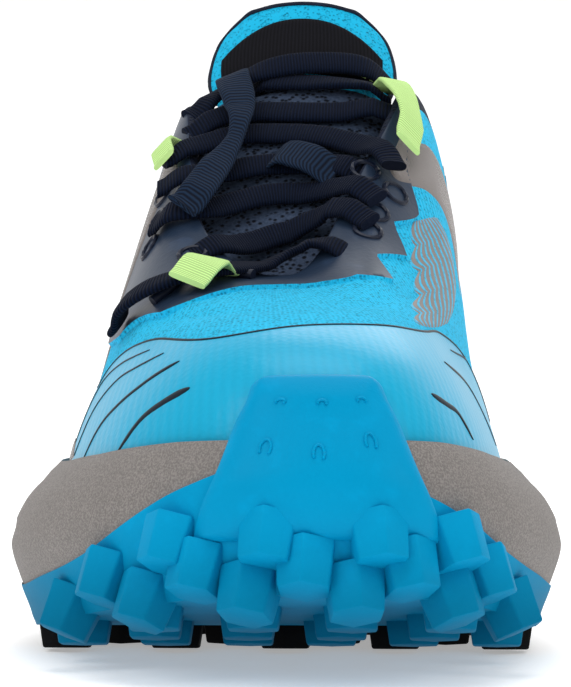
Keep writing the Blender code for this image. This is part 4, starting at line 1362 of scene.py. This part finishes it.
def label_corner(column, row):
    """Point of the label's face and the way out of it. Its lower edge is arched."""
    side, rise = 2 * column / LABEL_COLUMNS - 1, row / LABEL_ROWS
    across = LABEL_INSET + (1 - 2 * LABEL_INSET) * column / LABEL_COLUMNS
    last = len(NET) - 1
    bow = LABEL_BOW * abs(side) ** LABEL_CURVE
    high = (last - LABEL_FROM + (LABEL_HIGH - bow) * rise) / last
    point, away = tongue_place(round(across, 6), round(high, 6))
    edge = max(abs(side) ** 12, abs(2 * rise - 1) ** 10)
    return point + away * (GAP + LABEL_THICKNESS * (1 - 0.6 * edge)), away


class SHOE_OT_tongue(bpy.types.Operator):
    """Padded knit tongue, its edge binding and its bare label"""
    bl_idname = "shoe.tongue"
    bl_label = "Tongue"

    def execute(self, context):
        colours, _ = shoe_settings()
        mesh = closed_net(2 * TONGUE_COLUMNS, TONGUE_ROWS, tongue_corner)
        made = piece("padded_tongue", mesh, [
            tongue_cloth("tongue_cloth", colours.navy, colours.knit, 0.66)], "tongue", ["tongue"])
        label = slab(LABEL_COLUMNS, LABEL_ROWS, label_corner, LABEL_WALL)
        piece("label", label, [label_cloth("label_cloth", LABEL_BLACK, colours.lime)],
              "label", ["tongue_label"])
        binding = bmesh.new()
        rows = [TONGUE_ROWS - step for step in BINDING_ROWS]
        rim = [tongue_corner(0, row) for row in rows]
        rim += [tongue_corner(column, TONGUE_ROWS) for column in BINDING_COLUMNS]
        rim += [tongue_corner(TONGUE_COLUMNS, row) for row in reversed(rows)]
        tube_into(binding, rim, BINDING_RADIUS)
        piece("tongue_binding", binding, [moulded("binding", colours.navy, 0.6)], "tongue")
        return {"FINISHED"}


def support_of(name):
    """Search tree over a finished piece."""
    data = bpy.data.objects[name].data
    return BVHTree.FromPolygons([vert.co.copy() for vert in data.vertices],
                                [list(face.vertices) for face in data.polygons])


def band_frames(points, supports, width, lift):
    """Centre, sideways and upward directions along a band laid over what is under it."""
    samples = route(points, BAND_STEP)
    last = len(samples) - 1
    hits = []
    for number, sample in enumerate(samples):
        ahead = samples[min(number + 1, last)] - samples[max(number - 1, 0)]
        side = Vector((-ahead.y, ahead.x, 0)).normalized() * width / 2
        reach = ahead.normalized() * NEAR
        found = {}
        for across in (-1, -0.5, 0, 0.5, 1):
            near = [drape(supports, sample + side * across + reach * part) for part in (-1, 0, 1)]
            found[across] = max((height for height in near if height is not None), default=None)
        known = [height for height in found.values() if height is not None]
        left, right = (max(known) if found[end] is None else found[end] for end in (1, -1))
        tilt = min(max(left - right, -width), width)
        side.z = tilt / 2
        over = [height - tilt / 2 * across for across, height in found.items() if height is not None]
        hits.append((sample, side, max(over)))
    tall = [max(hit[2] for hit in hits[max(n - 2, 0):n + 3]) for n in range(last + 1)]
    centres, sides = [], []
    for number, (sample, side, height) in enumerate(hits):
        near = tall[max(number - 3, 0):number + 4]
        centres.append(Vector((sample.x, sample.y, max(sum(near) / len(near), height))))
        beside = [hit[1].normalized() for hit in hits[max(number - 3, 0):number + 4]]
        sides.append(sum(beside, Vector()).normalized())
    frames = []
    for number, (centre, side) in enumerate(zip(centres, sides)):
        ahead = centres[min(number + 1, last)] - centres[max(number - 1, 0)]
        up = ahead.cross(side)
        up = (up if up.z > 0 else -up).normalized()
        end = min(number, last - number)
        dive = END_DIVE * (1 - ramp(end, 0, DIVE_STEPS))
        frames.append((centre + up * (lift - dive), side, up))
    return frames


def band(name, frames, width, thickness, square, finish, slot, nodes, pinch=0.0):
    """Lace or webbing of one section carried along frames; its net gives length in metres."""
    mesh = bmesh.new()
    count = len(frames) - 1
    flat = 0.35 if square else 0.6

    def place(column, row):
        centre, side, up = frames[row]
        angle = 2 * math.pi * (column + 0.5) / BAND_POINTS
        across, high = math.cos(angle), math.sin(angle)
        narrow = 1 - pinch * math.exp(-((row / count - PINCH_PLACE) / PINCH_LENGTH) ** 2)
        return (centre + side * math.copysign(abs(across) ** flat, across) * narrow * width / 2
                + up * math.copysign(abs(high) ** (flat + 0.2), high) * thickness / 2)

    net_into(mesh, BAND_POINTS, count, place)
    uv = mesh.loops.layers.uv.verify()
    length = sum((frames[n + 1][0] - frames[n][0]).length for n in range(count))
    for face in mesh.faces:
        for loop in face.loops:
            loop[uv].uv.y *= length / BAND_UV_LENGTH
    close_up(mesh)
    return piece(name, mesh, [finish], slot, nodes)


class SHOE_OT_laces(bpy.types.Operator):
    """Flat navy laces over the tongue, run into their eyelets"""
    bl_idname = "shoe.laces"
    bl_label = "Laces"

    def execute(self, context):
        colours, sizes = shoe_settings()
        cloth = woven_lace("lace_cloth", colours.lace, 140)
        under = [support_of(name) for name in ("knit_upper", "padded_tongue", "label")]
        lift = sizes.lace_thickness / 2 + LACE_CLEARANCE * 0.5
        for name, runs in LACES.items():
            for number, points in enumerate(runs):
                frames = band_frames(points, under, sizes.lace_width, lift)
                label = f"run_{name}" if not number else f"run_{name}_{number + 1}"
                band(label, frames, sizes.lace_width, sizes.lace_thickness, False, cloth, "lace",
                     [name] if not number else ())
        return {"FINISHED"}


class SHOE_OT_webbing(bpy.types.Operator):
    """Lime loops that hold the lace, and the tape that keeps it in the middle"""
    bl_idname = "shoe.webbing"
    bl_label = "Webbing"

    def execute(self, context):
        colours, sizes = shoe_settings()
        names = ["knit_upper", "padded_tongue", "label"]
        names += [made.name for made in bpy.data.objects if made.name.startswith("run_")]
        under = [support_of(name) for name in names]
        lift = sizes.webbing_thickness / 2 + GAP
        lime = woven_lace("webbing_lime", colours.lime, 190, 0.05, 0.8)
        tape = herringbone("keeper_tape", colours.lace, 95)
        for table, cloth, slot in ((LOOPS, lime, "webbing"), (TAPES, tape, "keeper")):
            for name, (width, points) in table.items():
                frames = band_frames(points, under, width * MM, lift)
                band(f"web_{name}", frames, width * MM, sizes.webbing_thickness, True, cloth, slot,
                     [name], PINCH_DEPTH if name == "lace_keeper" else 0.0)
        return {"FINISHED"}


def evenly(ends, steps):
    """Even places from one end to the other."""
    first, last = ends
    return [first + (last - first) * number / steps for number in range(steps + 1)]


def over_skin(around, share):
    """Height of the finished upper over the last at one place."""
    cap, stay = cap_edge(around), stay_edge(around)
    if share <= cap:
        return cap_step(around)
    if share >= stay:
        return stay_step(around)
    return -crease_depth(around, share)


def line_into(mesh, corners, width, height, step, narrows=0.0):
    """Low strip on the upper along places given as (around, share)."""
    corners = [Vector((*pair, 0)) for pair in corners]
    count = step * (len(corners) - 1)
    line = [catmull(corners, number / step, cyclic=False) for number in range(count + 1)]
    centres = [last_point(spot.x, spot.y, over_skin(spot.x, spot.y)) for spot in line]

    def place(column, row):
        normal = rib_normal(line[row].x, line[row].y)
        ahead = centres[min(row + 1, count)] - centres[max(row - 1, 0)]
        side = normal.cross(ahead).normalized()
        across = 2 * column / LINE_COLUMNS - 1
        taper = min(min(row, count - row) / count * 6, 1) ** 0.5
        here = width * (1 - narrows * (row / count))
        rise = height * (1 - across ** 4) - LINE_SUNK
        return centres[row] + side * across * here * taper / 2 + normal * rise

    net_into(mesh, LINE_COLUMNS, count, place)


def overlay(name, low, high, finish, lobes=0.0):
    """Film panel on the upper between two edges given as (around, share)."""
    low = [Vector((*pair, 0)) for pair in low]
    high = [Vector((*pair, 0)) for pair in high]

    def place(column, row):
        along = row / FILM_ROWS * (len(low) - 1)
        at_low, at_high = (catmull(edge, along, cyclic=False) for edge in (low, high))
        share = column / FILM_COLUMNS
        scallop = lobes * abs(math.sin(row / FILM_ROWS * math.pi * 5)) * (1 - share) ** 3
        spot = at_low.lerp(at_high, share + lobes * 0.5 * (1 - share) ** 3 - scallop)
        edge = max(abs(2 * column / FILM_COLUMNS - 1) ** 8, abs(2 * row / FILM_ROWS - 1) ** 10)
        rise = over_skin(spot.x, spot.y) + FILM_RISE * (1 - edge) - FILM_SUNK
        return last_point(spot.x, spot.y, rise)

    mesh = bmesh.new()
    net_into(mesh, FILM_COLUMNS, FILM_ROWS, place)
    bmesh.ops.recalc_face_normals(mesh, faces=mesh.faces)
    piece(name, mesh, [finish], "upper")


def cap_lines(sizes):
    """Lines moulded in the toe cap's film, and the one along its upper edge."""
    mesh = bmesh.new()
    for width, points in SLASHES:
        line_into(mesh, points, width * MM, sizes.line_height, 8, SLASH_NARROWS)
    edge = [(around, cap_edge(around) - CAP_LINE_DROP) for around in evenly(CAP_LINE, SEAM_STEPS)]
    line_into(mesh, edge, CAP_LINE_WIDTH, sizes.line_height, 3)
    piece("cap_lines", mesh, [moulded("line_ink", LINE_INK, 0.45)], "upper")


def film_panels(colours):
    """Films down both sides and the striped panel."""
    side_film = film("side_film", colours.side_film, 0.26)
    for name, (low, high) in SIDE_FILMS.items():
        overlay(name, low, high, side_film)
    overlay("striped_panel", *STRIPED, striped("striped_film", colours.knit, colours.side_film),
            STRIPED_LOBES)


def seams(colours, sizes):
    """Stitched lines under the collar and the seam down the heel."""
    mesh = bmesh.new()
    for share in COLLAR_SHARES:
        places = [(around, share) for around in evenly(COLLAR_SEAM, SEAM_STEPS)]
        line_into(mesh, places, COLLAR_SEAM_WIDTH, sizes.line_height, 6)
    heel = [(0.0, share) for share in evenly(HEEL_SEAM, HEEL_STEPS)]
    line_into(mesh, heel, HEEL_SEAM_WIDTH, 2 * sizes.line_height, 4)
    piece("collar_and_heel_seams", mesh, [moulded("seam_thread", colours.navy, 0.6)], "upper")


def piping(colours):
    """Cord let in along the vamp's outer side."""
    mesh = bmesh.new()
    corners = [last_point(around, share, over_skin(around, share) + PIPING_LIFT)
               for around, share in PIPING]
    tube_into(mesh, corners, PIPING_RADIUS)
    piece("vamp_piping", mesh, [moulded("piping_navy", colours.navy, 0.45, 0.1)], "upper")


def eyelet_into(mesh, spot, way):
    """Raised ring round a lace's hole, turned to the surface it is set in."""
    first = way.orthogonal().normalized()
    second = way.cross(first)
    ring = []
    for number in range(EYELET_POINTS + 1):
        angle = 2 * math.pi * number / EYELET_POINTS
        ring.append(spot + (first * math.cos(angle) + second * math.sin(angle)) * EYELET_RADIUS)
    tube_into(mesh, ring, EYELET_RIM, 6)


def eyelets(colours):
    """Rings where the laces' ends go through the upper."""
    mesh = bmesh.new()
    wall = support_of("knit_upper")
    for name in EYELET_LACES:
        for out, along in (LACES[name][0][0], LACES[name][0][-1]):
            start = plan(along, out) + Vector((0, 0, 2 * INSTEP_HEIGHT))
            spot, way = wall.ray_cast(start, Vector((0, 0, -1)))[:2]
            if spot is None:
                raise ValueError(f"no upper under an end of {name} for its eyelet")
            eyelet_into(mesh, spot, way)
    piece("eyelets", mesh, [moulded("eyelet_rim", colours.navy, 0.35, 0.05)], "upper")


def shield_marks(colours):
    """Plain crescents on the toe shield."""
    mesh = bmesh.new()
    for across, high in MARKS:
        arc = []
        for number in range(MARK_POINTS + 1):
            angle = math.radians(MARK_START + MARK_TURN * number / MARK_POINTS)
            arc.append(shield_point(across + MARK_ACROSS * math.cos(angle),
                                    high + MARK_HIGH * math.sin(angle), -MARK_PROUD)[0])
        tube_into(mesh, arc, MARK_RADIUS, 6)
    piece("shield_marks", mesh, [rubber("mark_rubber", colours.blue_rubber, 0.35)], "rubber_blue")


class SHOE_OT_trim(bpy.types.Operator):
    """Lines on the toe cap, films, striped panel, seams, piping, eyelets and shield marks"""
    bl_idname = "shoe.trim"
    bl_label = "Trim"

    def execute(self, context):
        colours, sizes = shoe_settings()
        cap_lines(sizes)
        film_panels(colours)
        seams(colours, sizes)
        piping(colours)
        eyelets(colours)
        shield_marks(colours)
        return {"FINISHED"}


def sweep_corner(column, row):
    """Studio floor that curves up behind the shoe."""
    across = (column - 1) * SWEEP_HALF
    if row < SWEEP_FLAT:
        return Vector((across, SWEEP_FRONT + (SWEEP_BACK - SWEEP_FRONT) * row / SWEEP_FLAT, 0))
    angle = math.pi / 2 * min((row - SWEEP_FLAT) / SWEEP_CURVED, 1)
    straight = SWEEP_BEND * max(row - SWEEP_FLAT - SWEEP_CURVED, 0)
    return Vector((across, SWEEP_BACK + SWEEP_BEND * math.sin(angle),
                   SWEEP_BEND * (1 - math.cos(angle)) + straight))


def studio_floor():
    """Pale floor under and behind the shoe."""
    white = Finish("studio_white", (0.93, 0.93, 0.93), 0.9,
                   **{"Emission Color": (1, 1, 1, 1), "Emission Strength": FLOOR_GLOW})
    sweep = bmesh.new()
    net_into(sweep, 2, SWEEP_ROWS, sweep_corner)
    data = bpy.data.meshes.new("studio_floor")
    sweep.to_mesh(data)
    sweep.free()
    data.materials.append(white.material)
    data.shade_smooth()
    floor = bpy.data.objects.new("studio_floor", data)
    bpy.context.scene.collection.objects.link(floor)


def studio_light(scene):
    """Even white surroundings and four soft lamps."""
    world = bpy.data.worlds.new("studio")
    scene.world = world
    world.use_nodes = True
    background = world.node_tree.nodes["Background"]
    background.inputs["Color"].default_value = (1, 1, 1, 1)
    background.inputs["Strength"].default_value = WORLD_STRENGTH
    for name, place, size, power in LIGHTS:
        light = bpy.data.lights.new(name, "AREA")
        light.energy, light.size = power, size
        lamp = bpy.data.objects.new(name, light)
        lamp.location = place
        aim = Vector(LIGHT_AIM) - Vector(place)
        lamp.rotation_euler = aim.to_track_quat("-Z", "Y").to_euler()
        scene.collection.objects.link(lamp)


def studio_camera(scene):
    """Camera at the photo's viewing angle."""
    view = bpy.data.cameras.new("camera")
    view.sensor_width = CAMERA_SENSOR
    view.lens = CAMERA_LENS
    camera = bpy.data.objects.new("camera", view)
    side, rise = math.radians(CAMERA_SIDE), math.radians(CAMERA_RISE)
    away = Vector((math.sin(side) * math.cos(rise), -math.cos(side) * math.cos(rise),
                   math.sin(rise)))
    camera.location = Vector(CAMERA_TARGET) + away * CAMERA_FAR
    camera.rotation_euler = (-away).to_track_quat("-Z", "Y").to_euler()
    scene.collection.objects.link(camera)
    scene.camera = camera


class SHOE_OT_stage(bpy.types.Operator):
    """Pale floor, soft lights and the camera"""
    bl_idname = "shoe.stage"
    bl_label = "Stage"

    def execute(self, context):
        studio_floor()
        studio_light(context.scene)
        studio_camera(context.scene)
        context.scene.view_settings.view_transform = "Standard"
        return {"FINISHED"}


class SHOE_PT_panel(bpy.types.Panel):
    """The shoe's settings and steps"""
    bl_label = "Shoe"
    bl_idname = "SHOE_PT_panel"
    bl_space_type = "VIEW_3D"
    bl_region_type = "UI"
    bl_category = "Shoe"

    def draw(self, context):
        for group in (context.scene.shoe_colours, context.scene.shoe_sizes):
            for name in group.__annotations__:
                self.layout.prop(group, name)
        for step in STEPS:
            self.layout.operator(step.bl_idname)


STEPS = (SHOE_OT_upper, SHOE_OT_midsole, SHOE_OT_insole, SHOE_OT_outsole, SHOE_OT_tongue,
         SHOE_OT_laces, SHOE_OT_webbing, SHOE_OT_trim, SHOE_OT_stage)
CLASSES = (ShoeColours, ShoeSizes, *STEPS, SHOE_PT_panel)


def register():
    for group in CLASSES:
        bpy.utils.register_class(group)
    bpy.types.Scene.shoe_colours = PointerProperty(type=ShoeColours)
    bpy.types.Scene.shoe_sizes = PointerProperty(type=ShoeSizes)


def unregister():
    del bpy.types.Scene.shoe_sizes
    del bpy.types.Scene.shoe_colours
    for group in reversed(CLASSES):
        bpy.utils.unregister_class(group)


def main():
    register()
    bpy.ops.shoe.stage()
    bpy.ops.shoe.upper()
    bpy.ops.shoe.midsole()
    bpy.ops.shoe.insole()
    bpy.ops.shoe.outsole()
    bpy.ops.shoe.tongue()
    bpy.ops.shoe.laces()
    bpy.ops.shoe.webbing()
    bpy.ops.shoe.trim()


if __name__ == "__main__":
    main()
